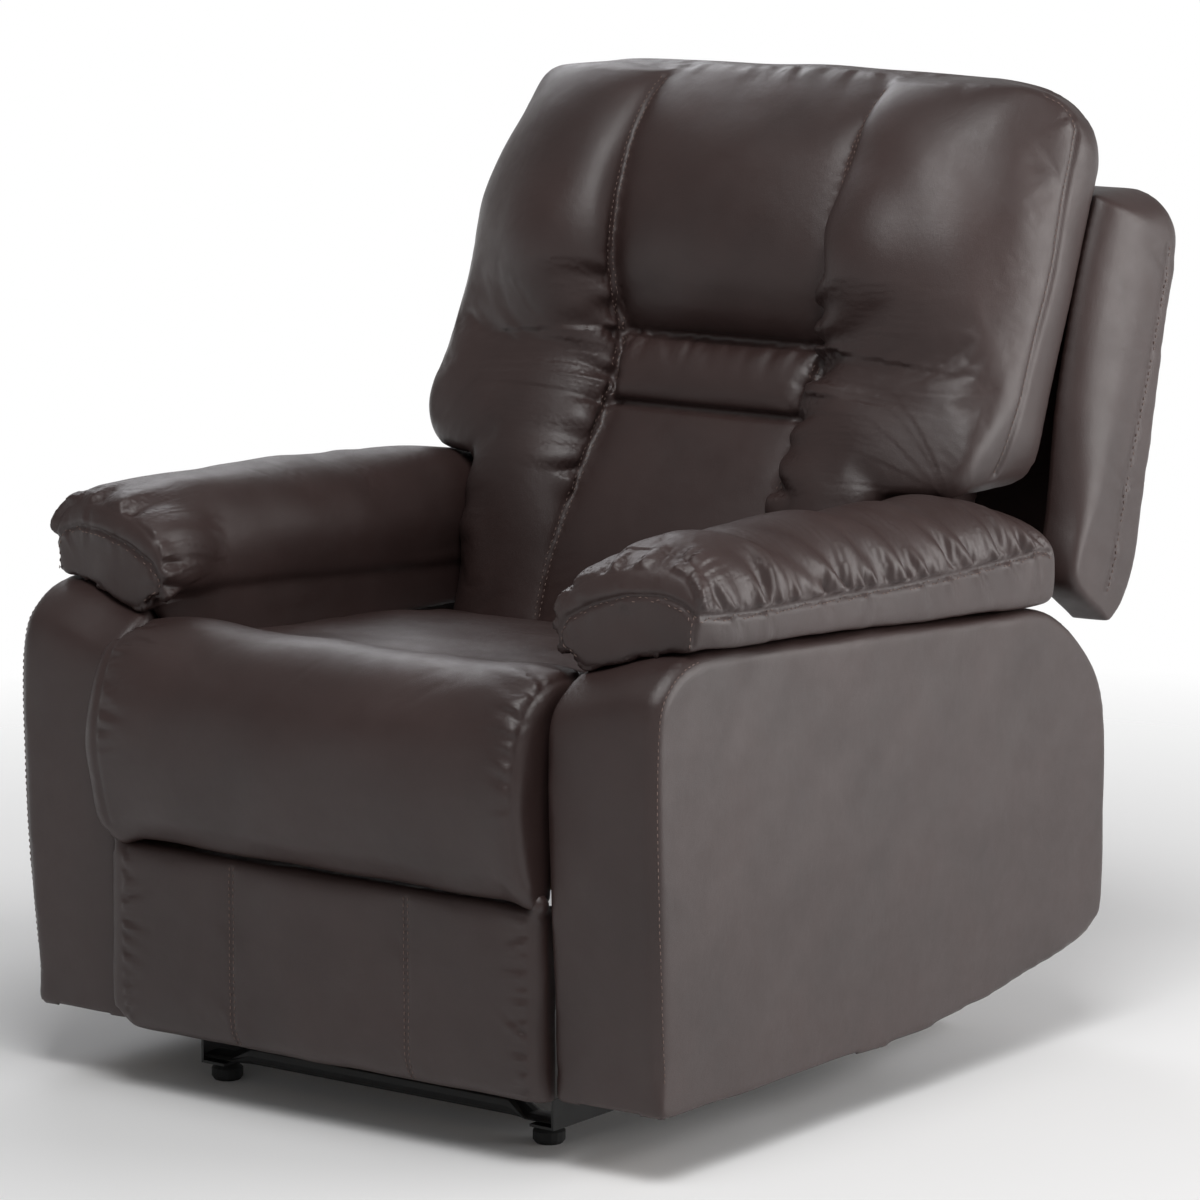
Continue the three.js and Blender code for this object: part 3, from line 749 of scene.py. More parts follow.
def bulge_sides(obj):
    """Rounds the side boxing outwards between its seam and the rear."""
    points = coordinates(obj)
    x, y, z = points.T
    share = np.clip((y - EDGE_Y(z)) / (np.minimum(REAR_Y(z), REAR_LIMIT) - EDGE_Y(z) + 1), 0, 1)
    side = fade(np.abs(x), BACK_HALF - 30, BACK_HALF - 4) * fade(z, WING_FOOT + 6, WING_FOOT + 60)
    points[:, 0] += np.sign(x) * side * 7 * np.sin(np.pi * share) * (1 - fade(z, 960, 1030))
    slump = fade(-x, BACK_HALF - 90, BACK_HALF - 10) * fade(z, WING_FOOT - 20, WING_FOOT + 60)
    slump *= 1 - 0.7 * fade(z, 930, 1010)
    points += np.outer(slump, LEFT_SLUMP)
    place(obj, points)


def back_folds(obj, lines):
    """Wrinkles that fan out from the lumbar roll's ends, the top's small tucks and the wings' gathers."""
    points, up = coordinates(obj), normals(obj)
    x, y, z = points.T
    front = fade(-up[:, 1], 0.0, 0.35)
    folds = np.zeros(len(points))
    for i, side in enumerate((-1, 1)):
        bolster = front * fade(side * x - SEW_X(z), 0, 5)
        middle = [p for p in lines["sew"][i] if 590 < p[2] < 842]
        bolster = bolster * (1 + 0.5 * i)
        folds += gathers(points, middle, bolster, 11 + i, "bolster", fan=0.6)
        tight = [p for p in lines["sew"][i] if 660 < p[2] < 772]
        folds += gathers(points, tight, bolster, 15 + i, "bolster_fine", fan=0.5)
        inward = front * fade(SEW_X(z) - side * x, 0, 5) * (z < LUMBAR_TOP) * (z > LUMBAR_FOOT)
        folds += gathers(points, tight, inward, 19 + i, "lumbar_end")
        column = np.arange(500, 640, 6.0)
        start = row(side * (WAIST_HALF - 4), 150 + 0.32 * (column - 520), column)
        wing = settle(surface_of(obj), start)[0]
        outer = fade(side * x, 205, 240) * (z < 720)
        folds += gathers(points, wing, outer * front, 23 + i, "wing", fan=0.4)
        edge = front * fade(BACK_HALF - side * x, 1, 8)
        folds += gathers(points, lines["edge"][i], edge, 27 + i, "back_edge")
    roll = front * (z < LUMBAR_TOP) * (z > LUMBAR_FOOT) * fade(SEW_X(z) - np.abs(x), 0, 8)
    folds += gathers(points, lines["lumbar"][1], roll, 7, "lumbar_top")
    top = front * fade(z, 940, 965)
    folds += gathers(points, lines["crown"][0], top, 5, "crown")
    push(obj, folds)


def back_seam_lines(obj):
    """The sewn lines of the back, laid on its surface."""
    tree = surface_of(obj)
    lines = {"sew": [], "lumbar": [], "edge": [], "crown": []}
    for side in (-1, 1):
        z = np.arange(446, 1034, 5.0)
        lines["sew"].append(cast(tree, row(side * SEW_X(z), 0.0, z), REARWARD)[0])
        z = np.arange(636, 985, 5.0)
        edge = cast(tree, row(side * 500.0, EDGE_Y(z) + 5, z), (-side, 0, 0))[0]
        shoulder = [(side * x, y, z) for x, y, z in SHOULDER]
        lines["edge"].append(np.concatenate([edge, settle(tree, resample(shoulder, 5.0))[0]]))
    for height in (LUMBAR_FOOT, LUMBAR_TOP):
        x = np.arange(-SEW_X(height), SEW_X(height) + 1, 5.0)
        lines["lumbar"].append(cast(tree, row(x, 0.0, height), REARWARD)[0])
    x = np.arange(-BACK_HALF + 60, BACK_HALF - 60, 6.0)
    lines["crown"].append(cast(tree, row(x, 356.0, BACK_TOP + 400), (0, 0, -1))[0])
    return lines


# ---------------------------------------------------------------- seat cushion
def seat_outline():
    """Side outline of the seat cushion as (Y, Z): up the front roll, over the top, back below."""
    front, foot, top, rear = SEAT_LOW[1], SEAT_LOW[2], SEAT_HIGH[2], SEAT_HIGH[1]
    # Y, Z and the corner's radius
    face = [(front + 34, foot - 2, 6), (front + 12, foot + 34, 40), (front + 1, foot + 88, 40),
            (front + 1, top - 98, 50), (front + 9, top - 52, 40), (front + 28, top - 14, 36),
            (front + 60, top + 5, 40), (front + 96, top + 7, 40)]
    deck = [(front + 150, top - 4, 50), (front + 210, top - 19, 50), (front + 290, top - 22, 60),
            (front + 400, top - 26, 60), (front + 500, top - 38, 60), (front + 590, top - 50, 14),
            (rear - 1, top - 66, 8)]
    under = [(rear, foot + 75, 5), (front + 64, foot + 75, 4), (front + 62, foot + 2, 6)]
    points = face + deck + under
    return rounded([p[:2] for p in points], [p[2] for p in points])


def seat_cushion():
    """The seat cushion with its waterfall roll, which sags a little to the left and forward."""
    front, foot, top, half = SEAT_LOW[1], SEAT_LOW[2], SEAT_HIGH[2], SEAT_HIGH[0]
    outline = seat_outline()
    sections = []
    for x in np.linspace(-half, half, 112):
        edge = abs(x) / half
        pinch = 13 * np.clip((edge - 0.93) / 0.07, 0, 1) ** 2.4
        shape = outline.copy()
        on_top = fade(shape[:, 1], top - 96, top - 50)
        on_front = (1 - fade(shape[:, 0], front + 20, front + 66)) * fade(shape[:, 1], foot + 2, foot + 40)
        shoulder = 9 * bell(edge - 0.8, 0.22) * bell(shape[:, 0] - (front + 90), 70)
        saddle = 8 * (1 - edge**2) * bell(shape[:, 0] - (front + 190), 80)
        shape[:, 1] += on_top * (3 * (1 - edge**2) - pinch + shoulder - saddle) - 3
        shape[:, 0] += on_front * (pinch + 3 * edge**2 - 1)
        spread = fade(-shape[:, 0], -front - 52, -front - 40) * fade(shape[:, 1], foot - 6, foot + 30)
        lean = fade(-x, -half, half)
        wide = x * (1 + 0.014 * spread) - (6 + 10 * lean) * spread
        shape[:, 0] -= 5 * spread
        shape[:, 1] -= 8 * fade(edge, 0.86, 0.97) * (1 - fade(shape[:, 1], foot + 10, foot + 60))
        sections.append(np.column_stack([wide, shape]))
    obj = new_object("seat_cushion_cover", *skin(sections))
    remeshed(obj, 5.5, relax=4)
    points, up = coordinates(obj), normals(obj)
    flat = fade(-up[:, 2], 0.3, 0.7) + fade(points[:, 1], 60, 85)
    sides = fade(np.abs(up[:, 0]), 0.75, 0.95)
    puff(obj, np.clip(flat + sides, 0, 1), pressure=3.0, cap=9)
    subdivided(obj)
    wobble(obj, 4, 1.4, 150)
    rims = []
    for side in (-1, 1):
        path = [(side * (half - 5), y, z) for y, z in outline if z > foot + 14 and y < 60]
        rims.append(settle(surface_of(obj), resample(path, 5.0))[0])
    points = coordinates(obj)
    folds = np.zeros(len(points))
    for i, line in enumerate(rims):
        groove(obj, line, 1.6, 3.6)
        corner = fade(points[:, 2], 352, 400) * (1 - fade(points[:, 1], -410, -330))
        inside = fade(half - 5 - np.abs(points[:, 0]), 0, 4)
        folds += gathers(points, line, corner * inside, 31 + i, "seat_corner")
        rest = (1 - corner) * inside * fade(normals(obj)[:, 2], -0.2, 0.3)
        folds += gathers(points, line, rest, 35 + i, "seat_rim")
    push(obj, folds)
    finish_piece(obj, "seat", replaces=("seat_cushion",))
    seat_sides()


SIDE_COVER_THICK = 3.0


def seat_sides():
    """The cover drawn down over the outside of the seat's side rails."""
    low, high = span("seat_rail_left", "seat_rail_right")
    corners = [(low[1] + 4, low[2] - 3), (high[1] - 4, low[2] - 3), (high[1] - 4, high[2] + 14),
               (low[1] + 60, high[2] + 24), (low[1] + 4, high[2] + 24)]
    outline = rounded(corners, 14)
    outline = resample(np.vstack([outline, outline[:1]]), 12.0)[:-1]
    for word, side in SIDES.items():
        layers = np.linspace(high[0] + 0.6, high[0] + 0.6 + SIDE_COVER_THICK, 3)
        sections = [row(side * x, outline[:, 0], outline[:, 1]) for x in layers]
        finish_piece(new_object(f"seat_side_{word}", *skin(sections)), "seat")


# ---------------------------------------------------------------- footrest
def knuckle(centre, radii):
    """A small ellipsoid: the bunched leather of a corner."""
    rings = []
    for t in np.linspace(0.04, math.pi - 0.04, 12):
        turn = np.linspace(0, 2 * math.pi, 16, endpoint=False)
        ring = row(math.cos(t), math.sin(t) * np.cos(turn), math.sin(t) * np.sin(turn))
        rings.append(np.asarray(centre) + ring * radii)
    return skin(rings)


def footrest_pad():
    """The footrest's padded front, with two stitched seams, gathered ends and a tuck at each corner."""
    low, high = span("footrest_pad")
    board_low, board_high = span("footrest_board")
    half, front, rear = high[0], low[1], high[1]
    depth = rear - front
    sections = []
    for x in np.linspace(-half, half, 150):
        edge = abs(x) / half
        pull = depth * 0.6 * (1 - quarter(half - abs(x), 13 if x < 0 else 22))
        z = np.linspace(low[2], high[2], 52)
        rounding = 9 * (1 - quarter(high[2] - z, 9)) + 24 * (1 - quarter(z - low[2], 40))
        belly = 3.0 * (1 - edge**4)
        face_y = np.minimum(front + 4 + rounding + pull - belly, rear - 2)
        back_z = z[::-1]
        low_flare = 1 - fade(z, low[2] + 60, high[2])
        proud = 1 - fade(face_y, front + 6, front + 14)
        wide = x * (1.012 + 0.012 * low_flare * proud) - 13 * fade(-x, -half, half) * proud
        beside = abs(x) > board_high[0] + 1
        wraps = beside | (back_z > board_high[2] + 1) | (back_z < board_low[2] - 1)
        back_y = np.where(wraps, board_high[1] - 1, rear - 0.4)
        sections.append(np.concatenate([
            row(wide, face_y, z + 2.5 * fade(z, high[2] - 20, high[2])), row(x, back_y, back_z)]))
    tucks = [knuckle((side * (half + 1), front + 15, high[2] + 5), (8, 12, 12)) for side in (-1, 1)]
    obj = new_object("footrest_cover", *join_skins(skin(sections), *tucks))
    remeshed(obj, 4.5, relax=3)
    points = coordinates(obj)
    seam_x = half * 0.42
    at_rear, at_seam = fade(points[:, 1], rear - 9, rear - 4), bell(np.abs(points[:, 0]) - seam_x, 6)
    held = np.maximum(at_rear, at_seam)
    puff(obj, np.clip(held, 0, 1), pressure=1.6, cap=4, frames=10)
    subdivided(obj)
    wobble(obj, 5, 0.7, 110)
    tree = surface_of(obj)
    z = np.arange(low[2] + 8, high[2] - 4, 4.0)
    seams, rims = [], []
    for side in (-1, 1):
        seams.append(cast(tree, row(side * seam_x, -600.0, z), REARWARD)[0])
        rims.append(cast(tree, row(side * (half - 7), -600.0, z), REARWARD)[0])
    for line in seams:
        groove(obj, line, 1.8, 2.6)
    points = coordinates(obj)
    folds = np.zeros(len(points))
    for i, side in enumerate((-1, 1)):
        inside = fade(half - 5 - side * points[:, 0], 0, 4)
        folds += gathers(points, rims[i], inside, 41 + i, "footrest_end")
        folds += gathers(points, seams[i], 1.0, 45 + i, "footrest_seam")
    push(obj, folds)
    finish_piece(obj, "footrest", replaces=("footrest_pad",))
    for i, line in enumerate(seams):
        finish_piece(stitches(f"footrest_stitch_{i}", obj, line, (-3.2, 3.2)), "footrest")


# ---------------------------------------------------------------- arms
ARM_LOW, ARM_HIGH = span("arm_cover_right")
PAD_LOW, PAD_HIGH = span("arm_pad_right")
ARM_SIDE = (
    # offsets from the casing's lowest Y and Z, and the corner's radius: front, top, rear, underside
    (20, 0, 5), (12, 76, 60), (3, 229, 90), (0, 329, 60), (3, 400, 30), (12, 430, 24), (44, 455, 20),
    (82, 463, 40), (717, 421, 30), (768, 390, 30),
    (811, 352, 34), (837, 300, 40), (840, 231, 60), (844, 71, 10),
    (819, 52, 24), (737, 40, 60), (636, 22, 60), (557, 16, 60), (385, 0, 60),
)


def arm_outline():
    """Side outline of an arm as (Y, Z)."""
    side = np.array(ARM_SIDE, float)
    return rounded(side[:, :2] + ARM_LOW[1:], side[:, 2], 6)


def inward_of(outline):
    """Unit vectors that point into a closed 2-D outline."""
    ahead = np.roll(outline, -1, axis=0) - np.roll(outline, 1, axis=0)
    ahead /= np.linalg.norm(ahead, axis=1)[:, None]
    inward = np.stack([ahead[:, 1], -ahead[:, 0]], 1)
    return inward if np.sum(inward * (outline.mean(axis=0) - outline)) > 0 else -inward


def arm_casing(word, side):
    """The arm's leather box: soft corners, a slight flare outwards, a top that falls to the inside."""
    outline = arm_outline()
    inward = inward_of(outline)
    inner, outer, foot = ARM_LOW[0], ARM_HIGH[0], ARM_LOW[2]
    turn = np.linspace(0, math.pi / 2, 9)
    stations = [(inner + 7 * (1 - math.cos(t)), 7 * (1 - math.sin(t))) for t in turn]
    stations += [(x, 0.0) for x in np.linspace(inner + 12, outer - 20, 16)]
    stations += [(outer + 2 - 13 * (1 - math.sin(t)), 13 * (1 - math.cos(t))) for t in turn]
    sections = []
    for x, inset in stations:
        held = fade(outline[:, 1], foot + 4, foot + 50) * (1 - 0.65 * fade(outline[:, 0], -200, 100))
        shape = outline + inward * (inset * held)[:, None]
        share = (x - inner) / (outer - inner)
        shape[:, 1] -= 24 * (1 - fade(share, 0, 0.8)) * fade(shape[:, 1], foot + 350, foot + 450)
        taper = 5 * share * (1 - fade(shape[:, 1], foot, foot + 220))
        taper -= 4 * share * fade(shape[:, 0], -100, 300)
        shape[:, 1] -= 11 * fade(shape[:, 0], -250, 50) * (1 - fade(shape[:, 1], foot + 40, foot + 90))
        sections.append(np.column_stack([side * (x - taper), shape]))
    obj = new_object(f"arm_casing_{word}", *skin(sections))
    remeshed(obj, 5.0, relax=3)
    points, up = coordinates(obj), normals(obj)
    middle_y, middle_z = (ARM_LOW[1] + ARM_HIGH[1]) / 2, foot + 220
    dome = 4 * bell(points[:, 1] - middle_y, 380) * bell(points[:, 2] - middle_z, 190)
    points[:, 0] += side * dome * fade(side * up[:, 0], 0.6, 0.9)
    points[:, 1] -= 2.5 * fade(-up[:, 1], 0.6, 0.9) * bell(np.abs(points[:, 0]) - (inner + outer) / 2, 45)
    aside = fade(points[:, 1], -425, -400) * fade(points[:, 2], 425, 440) * fade(-side * up[:, 0], 0.3, 0.8)
    points[:, 0] += side * 7 * aside
    place(obj, points)
    wobble(obj, 50 + side, 0.9, 130)
    open_bottom(obj)
    return obj


def open_bottom(obj):
    """Cuts the underside away and gives the cover its thickness, so that it is hollow like the CAD's."""
    cut_faces(obj, lambda c, n: n[:, 2] < -0.72, lambda c, n: c[:, 2] < ARM_LOW[2] + 62)
    thicken(obj, 3.5)


def cut_faces(obj, *tests):
    """Deletes the faces whose centre and normal pass every test."""
    mesh = obj.data
    count = len(mesh.polygons)
    centre, normal = np.empty(count * 3), np.empty(count * 3)
    mesh.polygons.foreach_get("center", centre)
    mesh.polygons.foreach_get("normal", normal)
    centre, normal = centre.reshape(-1, 3) / MM, normal.reshape(-1, 3)
    doomed = np.all([test(centre, normal) for test in tests], axis=0)
    bm = bmesh.new()
    bm.from_mesh(mesh)
    bm.faces.ensure_lookup_table()
    bmesh.ops.delete(bm, geom=[bm.faces[i] for i in np.nonzero(doomed)[0]], context="FACES")
    bm.to_mesh(mesh)
    bm.free()
    SURFACES.pop(obj.name, None)


def thicken(obj, thickness):
    """Gives an open cover its thickness, inwards."""
    shell = obj.modifiers.new("shell", "SOLIDIFY")
    shell.thickness = thickness * MM
    shell.offset = -1
    baked(obj)


def arm_seam(obj, side):
    """The topstitched line along the outer edge of the casing's front face."""
    path = [(y, z) for y, z in arm_outline() if y < ARM_LOW[1] + 74 and z > ARM_LOW[2] + 6]
    path.sort(key=lambda p: p[1] + 0.4 * p[0])
    line = np.array([(side * (ARM_HIGH[0] - 4), y + 2, z) for y, z in path])
    return settle(surface_of(obj), resample(line, 5.0))[0]


def arms():
    """Both arms: casing, stitched front edge and pad."""
    for word, side in SIDES.items():
        obj = arm_casing(word, side)
        line = arm_seam(obj, side)
        groove(obj, line, 1.3, 2.8)
        if word == "left":
            cut_release_window(obj)
        finish_piece(obj, "base", replaces=(f"arm_cover_{word}",))
        rows = stitches(f"arm_front_stitch_{word}", obj, line, (6.0 * side,))
        finish_piece(rows, "base")
        arm_pad(word, side)


def cut_release_window(obj):
    """Opens the left casing for the release cup."""
    low, high = span("release_cup")
    lip = 10.5
    corners = [(x, y, z) for x in (low[0] - 30, high[0] - 6) for y in (low[1] + lip, high[1] - lip)
               for z in (low[2] + lip, high[2] - lip)]
    faces = [(0, 1, 3, 2), (4, 6, 7, 5), (0, 4, 5, 1), (2, 3, 7, 6), (0, 2, 6, 4), (1, 5, 7, 3)]
    tool = new_object("window_tool", corners, faces)
    cut = obj.modifiers.new("window", "BOOLEAN")
    cut.operation = "DIFFERENCE"
    cut.solver = "EXACT"
    cut.object = tool
    baked(obj)
    bpy.data.objects.remove(tool)


# ---------------------------------------------------------------- arm pads
PAD_FRONT, PAD_REAR = PAD_LOW[1] + 6, 252
PAD_STATIONS = (
    # Y, underside, seam height, crown height
    (PAD_FRONT, 531, 571, 594), (-425, 531, 571, 608), (-414, 532, 570, 618), (-394, 534, 569, 626),
    (-350, 531, 566, 632), (-300, 528, 563, 634), (-220, 523, 560, 633), (-130, 517, 557, 630),
    (-40, 511, 554, 626), (60, 504, 553, 621), (130, 500, 554, 616), (180, 497, 555, 608),
    (215, 495.5, 556, 599), (236, 495, 552, 587), (247, 500, 544, 574), (PAD_REAR, 510, 538, 558),
)
PAD_UNDER, PAD_SEAM, PAD_CROWN = (Line(*[(s[0], s[k]) for s in PAD_STATIONS]) for k in (1, 2, 3))
PAD_OUT, PAD_IN = PAD_HIGH[0], PAD_LOW[0]
PAD_CORNER = 14.0


def pad_section(y):
    """Section of a pad at one Y as (distance from the middle of the chair, Z)."""
    under, seam, crown = float(PAD_UNDER(y)), float(PAD_SEAM(y)), float(PAD_CROWN(y))
    bulge = 13 * fade(-y, -230, -150) + 15 * fade(-y, 300, 400)
    ridge, inner = PAD_OUT - 44 - 48 * fade(y, -430, -280), PAD_IN - bulge
    low_seam = seam - 22
    right = [(ridge + (PAD_OUT - ridge) * math.cos(t), seam + (crown - seam) * math.sin(t) ** 0.8)
             for t in np.linspace(0, math.pi / 2, 14)]
    left = [(ridge - (ridge - inner) * math.sin(t) ** 0.9,
             low_seam + (crown - low_seam) * math.cos(t) ** 0.85)
            for t in np.linspace(0, math.pi / 2, 18)[1:]]
    below = [(inner + 1, low_seam - 12), (inner + 4, under - 6), (PAD_IN + 1, under - 19),
             (PAD_IN + 9, under - 25), (PAD_IN + 40, under - 18), (PAD_IN + 80, under - 6),
             (PAD_OUT - 24, under), (PAD_OUT - 7, under), (PAD_OUT - 1, under + 6),
             (PAD_OUT, (under + seam) / 2)]
    return np.array(right + left + below)


def pad_flap():
    """The cover's inner side, which hangs down between the arm and the seat."""
    sections = []
    for y in np.linspace(-408, 246, 60):
        foot = 505 - 62 * fade(y, -405, -385)
        ring = [(PAD_IN - 3.5, foot), (PAD_IN - 3.5, 470), (PAD_IN - 4.5, 500), (PAD_IN - 6, 530),
                (PAD_IN + 7, 530), (PAD_IN + 7, foot)]
        sections.append([(x, y, max(z, foot)) for x, z in ring])
    return sections


def arm_pad(word, side):
    """The puffy arm pad: a gathered top and inner side sewn to a front panel and a plain boxing strip."""
    ends = np.linspace(0, 1, 12) ** 2
    rear_end = PAD_REAR - 46 * ends[::-1]
    stations = np.concatenate([PAD_FRONT + 24 * ends, np.linspace(-400, 200, 110), rear_end])
    sections = []
    for y in stations:
        ring = pad_section(y)
        close = 0.9 + 0.1 * quarter(y - PAD_FRONT, 7) - 0.1 * (1 - quarter(PAD_REAR - y, 16))
        centre = np.array([(PAD_IN + PAD_OUT) / 2, 560])
        ring = centre + (ring - centre) * close
        in_front = 1 - fade(y, PAD_FRONT, PAD_FRONT + 60)
        tuck = 9 * in_front * (1 - fade(ring[:, 1], 528, 575)) * (ring[:, 0] > PAD_IN + 60)
        set_back = PAD_CORNER * fade(ring[:, 0], PAD_OUT - 90, PAD_OUT) * in_front
        sections.append(np.column_stack([side * (ring[:, 0] - tuck), y + set_back, ring[:, 1]]))
    flap = [[(side * x, y, z) for x, y, z in ring] for ring in pad_flap()]
    obj = new_object(f"arm_pad_cover_{word}", *join_skins(skin(sections), skin(flap)))
    remeshed(obj, 4.5, relax=3)
    points, up = coordinates(obj), normals(obj)
    x, y, z = side * points[:, 0], points[:, 1], points[:, 2]
    boxing = fade(x, PAD_OUT - 12, PAD_OUT - 4) * (1 - fade(z, PAD_SEAM(y) + 1, PAD_SEAM(y) + 9))
    panel = fade(-up[:, 1], 0.5, 0.8) * (y < -410)
    flap_area = 1 - fade(z, 498, 520)
    held = np.max([fade(-up[:, 2], 0.2, 0.6), 0.85 * boxing, 0.85 * panel, flap_area], axis=0)
    puff(obj, np.clip(held, 0, 1), pressure=3.0, cap=9)
    subdivided(obj)
    wobble(obj, 60 + side, 1.1, 100)
    side_line, front_line, corner = pad_seams(obj, side)
    for line, depth in ((side_line, 3.4), (front_line, 3.6), (corner, 1.8)):
        groove(obj, line, depth, 3.4)
    pad_folds(obj, side, side_line, front_line)
    finish_piece(obj, "base", replaces=(f"arm_pad_{word}",))
    for i, (line, offset) in enumerate(((side_line, 4.6), (front_line, -4.6), (corner, 3.0))):
        finish_piece(stitches(f"arm_pad_stitch_{word}_{i}", obj, line, (offset * side,)), "base")


def pad_seams(obj, side):
    """The pad's seams: along the outside, round the front panel, and up the panel's outer corner."""
    tree = surface_of(obj)
    y = np.arange(PAD_FRONT + 5, 240, 6.0)
    side_line = settle(tree, row(side * (PAD_OUT + 8), y, PAD_SEAM(y)))[0]
    curve = [(PAD_OUT - 1, 571), (PAD_OUT - 16, 582), (PAD_OUT - 42, 588), (PAD_OUT - 78, 586),
             (PAD_IN + 20, 573), (PAD_IN - 10, 558), (PAD_IN - 23, 540), (PAD_IN - 21, 522),
             (PAD_IN - 6, 510)]
    front = [(side * x, PAD_FRONT - 2, z) for x, z in curve]
    front_line = settle(tree, resample(front, 4.0))[0]
    corner = [(side * (PAD_OUT - 1), PAD_FRONT + PAD_CORNER - 2, z) for z in np.arange(569, 536, -4.0)]
    return side_line, front_line, settle(tree, corner)[0]


def pad_folds(obj, side, side_line, front_line):
    """Gathers round the front panel, pleats and puckers over the side seam, and a few soft folds."""
    points, up = coordinates(obj), normals(obj)
    x, y, z = side * points[:, 0], points[:, 1], points[:, 2]
    boxing = fade(x, PAD_OUT - 14, PAD_OUT - 6) * (1 - fade(z, PAD_SEAM(y) - 2, PAD_SEAM(y) + 3))
    panel = fade(-up[:, 1], 0.45, 0.75) * (y < -408)
    top = np.clip(1 - boxing - panel, 0, 1) * fade(up[:, 2], -0.5, 0.0)
    rearward = np.clip(1 - panel, 0, 1)
    folds = gathers(points, front_line, rearward, 61 + side, "pad_front")
    forward = 1 - 0.25 * fade(y, -330, -150)
    pleats = "pad_pleat_right" if side > 0 else "pad_pleat_left"
    folds += gathers(points, side_line, top * forward, 71 + side, pleats, lean=-0.6)
    folds += gathers(points, side_line, top, 75 + side, "pad_pucker", lean=-0.4)
    folds += gathers(points, side_line, boxing, 81 + side, "pad_boxing", lean=0.4)
    folds += gathers(points, front_line, panel, 91 + side, "pad_panel")
    push(obj, folds)


# ---------------------------------------------------------------- outer back
def outer_back():
    """The padded outer back: a slab with rounded top corners, open in front and underneath."""
    low, high = span("back_cover")
    half, foot, top, rear = high[0] + 10, low[2], high[2], high[1]
    # Y by height of the rear face, of the front at the sides, and of the front in the middle
    rear_line = Line((foot, rear - 129), (foot + 21, rear - 103), (foot + 150, rear - 60),
                     (foot + 313, rear - 22), (foot + 423, rear), (top, rear - 6))
    edge_line = Line((foot, rear - 140), (foot + 63, rear - 212), (foot + 151, rear - 165),
                     (foot + 245, rear - 116), (foot + 406, rear - 36), (top, rear - 24))
    inner_line = Line((foot, rear - 140), (foot + 63, rear - 216), (foot + 130, rear - 202),
                      (foot + 250, rear - 186), (foot + 400, rear - 142), (top, rear - 112))
    radius, fold = 52.0, 42.0
    curl = 70 * (1 - np.cos(np.linspace(0, math.pi / 2, 26)))
    left = -half + curl
    columns = np.concatenate([left, np.linspace(-half + 76, half - 76, 60), -left[::-1]])
    sections = []
    for x in columns:
        away = half - abs(x)
        into = max(0.0, radius - away)
        crown = top - 4 - (radius - math.sqrt(radius**2 - into**2)) * 0.95
        z = np.linspace(foot + 2, crown, 60)
        front_y = edge_line(z) + 6 + (inner_line(z) - edge_line(z) - 6) * quarter(away, fold)
        rear_y = rear_line(z) + 3 - 10 * (1 - quarter(away, 10))
        rear_y -= 18 * np.clip((z - crown + 24) / 24, 0, 1) ** 2
        front = row(x, np.minimum(front_y, rear_y - 8), z)
        sections.append(np.concatenate([front, row(x, rear_y, z)[::-1]]))
    obj = new_object("outer_back", *skin(sections))
    remeshed(obj, 5.0, relax=6)
    wobble(obj, 9, 0.7, 190)

    def between_sides(centre, _):
        return np.abs(centre[:, 0]) < half - 44

    cut_faces(obj, between_sides, lambda c, n: (n[:, 1] < -0.4) & (c[:, 1] < inner_line(c[:, 2]) + 14))
    cut_faces(obj, between_sides, lambda c, n: (n[:, 2] < -0.5) & (c[:, 2] < foot + 60))
    thicken(obj, 5)
    lines = []
    for side in (-1, 1):
        z = np.arange(foot + 40, top - 66, 5.0)
        seam_y = rear_line(z) - 24 - 30 * (1 - fade(z, foot + 60, foot + 380))
        lines.append(cast(surface_of(obj), row(side * 600.0, seam_y, z), (-side, 0, 0))[0])
    for line in lines:
        groove(obj, line, 2.0, 3.4)
    points, up = coordinates(obj), normals(obj)
    folds = np.zeros(len(points))
    for i, line in enumerate(lines):
        folds += gathers(points, line, fade(np.abs(up[:, 0]), 0.1, 0.4), 95 + i, "outer_back")
    push(obj, folds)
    finish_piece(obj, "back", replaces=("back_cover",))
    for i, line in enumerate(lines):
        finish_piece(stitches(f"outer_back_stitch_{i}", obj, line, (4.5,)), "back")


# ---------------------------------------------------------------- stage
def studio_world():
    """Soft light all round, brighter behind the chair than in front of it."""
    world = bpy.data.worlds.new("studio")
    bpy.context.scene.world = world
    world.use_nodes = True
    tree = world.node_tree
    heading = tree.nodes.new("ShaderNodeTexCoord")
    parts = tree.nodes.new("ShaderNodeSeparateXYZ")
    tree.links.new(heading.outputs["Generated"], parts.inputs[0])
    across, upward = tree.nodes.new("ShaderNodeMapRange"), tree.nodes.new("ShaderNodeMapRange")
    ranges = ((across, "Y", -0.15, 0.6, 0.75, 1.0), (upward, "Z", -0.04, 0.12, 1.0, 0.32))
    for node, axis, start, end, low, high in ranges:
        node.interpolation_type = "SMOOTHSTEP"
        for socket, value in zip(("From Min", "From Max", "To Min", "To Max"), (start, end, low, high)):
            node.inputs[socket].default_value = value
        tree.links.new(parts.outputs[axis], node.inputs["Value"])
    level = tree.nodes.new("ShaderNodeMath")
    level.operation = "MULTIPLY"
    tree.links.new(across.outputs["Result"], level.inputs[0])
    tree.links.new(upward.outputs["Result"], level.inputs[1])
    tree.links.new(level.outputs["Value"], tree.nodes["Background"].inputs["Strength"])
    tree.nodes["Background"].inputs["Color"].default_value = (1.0, 1.0, 1.0, 1)


FLOOR_HALF = 4000
FLOOR_GREYS = (0.86, 0.86, 0.86, 1), (0.9, 0.9, 0.9, 1)


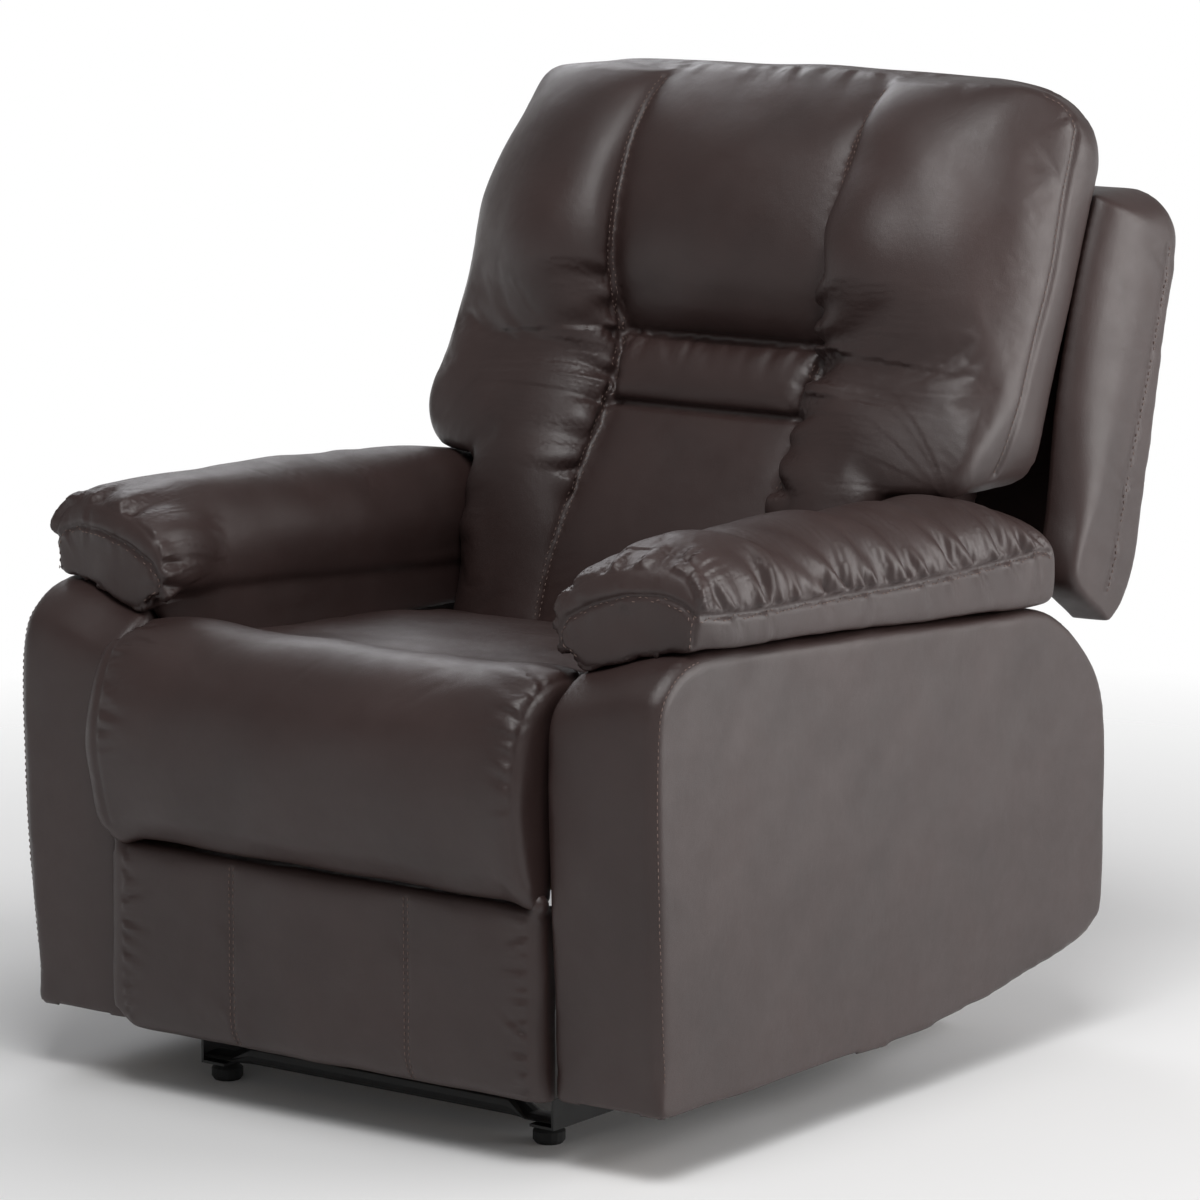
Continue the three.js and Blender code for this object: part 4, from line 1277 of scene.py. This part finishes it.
def floor_sheet():
    """A pale floor that thins out to nothing away from the chair."""
    size = FLOOR_HALF
    corners = [(-size, -size, 0), (size, -size, 0), (size, size, 0), (-size, size, 0)]
    floor = new_object("floor", corners, [(0, 1, 2, 3)])
    paint = Shader("floor_paint")
    paint.link(paint.mix(paint.noise(1.5, 2.0), *FLOOR_GREYS), paint.main.inputs["Base Color"])
    paint.set(Roughness=0.9, Specular_IOR_Level=0.2)
    away = paint.node("ShaderNodeVectorMath", operation="LENGTH")
    paint.link(paint.place, away.inputs[0])
    clear = paint.node("ShaderNodeBsdfTransparent")
    blend = paint.node("ShaderNodeMixShader")
    paint.link(paint.ramp(away.outputs["Value"], 0.9, 2.4), blend.inputs[0])
    paint.link(paint.main.outputs[0], blend.inputs[1])
    paint.link(clear.outputs[0], blend.inputs[2])
    paint.link(blend.outputs[0], paint.tree.nodes["Material Output"].inputs["Surface"])
    floor.data.materials.clear()
    floor.data.materials.append(paint.material)


LIGHTS = (
    # name, place, aim, size, watts, colour
    ("side", (3.2, 1.6, 1.2), (0.1, 0.0, 0.45), 2.2, 88, (1.0, 0.98, 0.97)),
    ("rear_left", (-2.2, 1.9, 2.4), (0.0, 0.0, 0.6), 1.6, 20, (0.95, 0.96, 1.0)),
    ("top", (0.9, -1.2, 3.0), (0.0, 0.0, 0.5), 1.6, 58, (1.0, 1.0, 1.0)),
)


def stage():
    """Floor, soft light all round and three area lights."""
    bpy.context.scene.view_settings.view_transform = "Standard"
    studio_world()
    floor_sheet()
    for name, spot, aim, size, watts, color in LIGHTS:
        light = bpy.data.lights.new(name, "AREA")
        light.size = size
        light.energy = watts
        light.color = color
        lamp = bpy.data.objects.new(name, light)
        lamp.location = spot
        lamp.rotation_euler = (Vector(aim) - Vector(spot)).to_track_quat("-Z", "Y").to_euler()
        bpy.context.scene.collection.objects.link(lamp)


# Degrees round from the front and up, metres, and millimetres of focal length
CAMERA_AZIMUTH, CAMERA_ELEVATION = 36.62, 9.62
CAMERA_PLACE = (3.5136, -4.7327, 1.4882)
CAMERA_LENS = 164.84


def camera():
    """The camera, from the right and a little above, looking along its azimuth and elevation."""
    azimuth, elevation = math.radians(CAMERA_AZIMUTH), math.radians(CAMERA_ELEVATION)
    level = math.cos(elevation)
    back = Vector((math.sin(azimuth) * level, -math.cos(azimuth) * level, math.sin(elevation)))
    lens = bpy.data.cameras.new("camera")
    lens.sensor_width = 36
    lens.lens = CAMERA_LENS
    lens.clip_end = 100
    obj = bpy.data.objects.new("camera", lens)
    obj.location = CAMERA_PLACE
    obj.rotation_mode = "QUATERNION"
    obj.rotation_quaternion = (-back).to_track_quat("-Z", "Y")
    bpy.context.scene.collection.objects.link(obj)
    bpy.context.scene.camera = obj


stage()
camera()
dress_cad_nodes()
seat_cushion()
footrest_pad()
arms()
back_cushion()
outer_back()
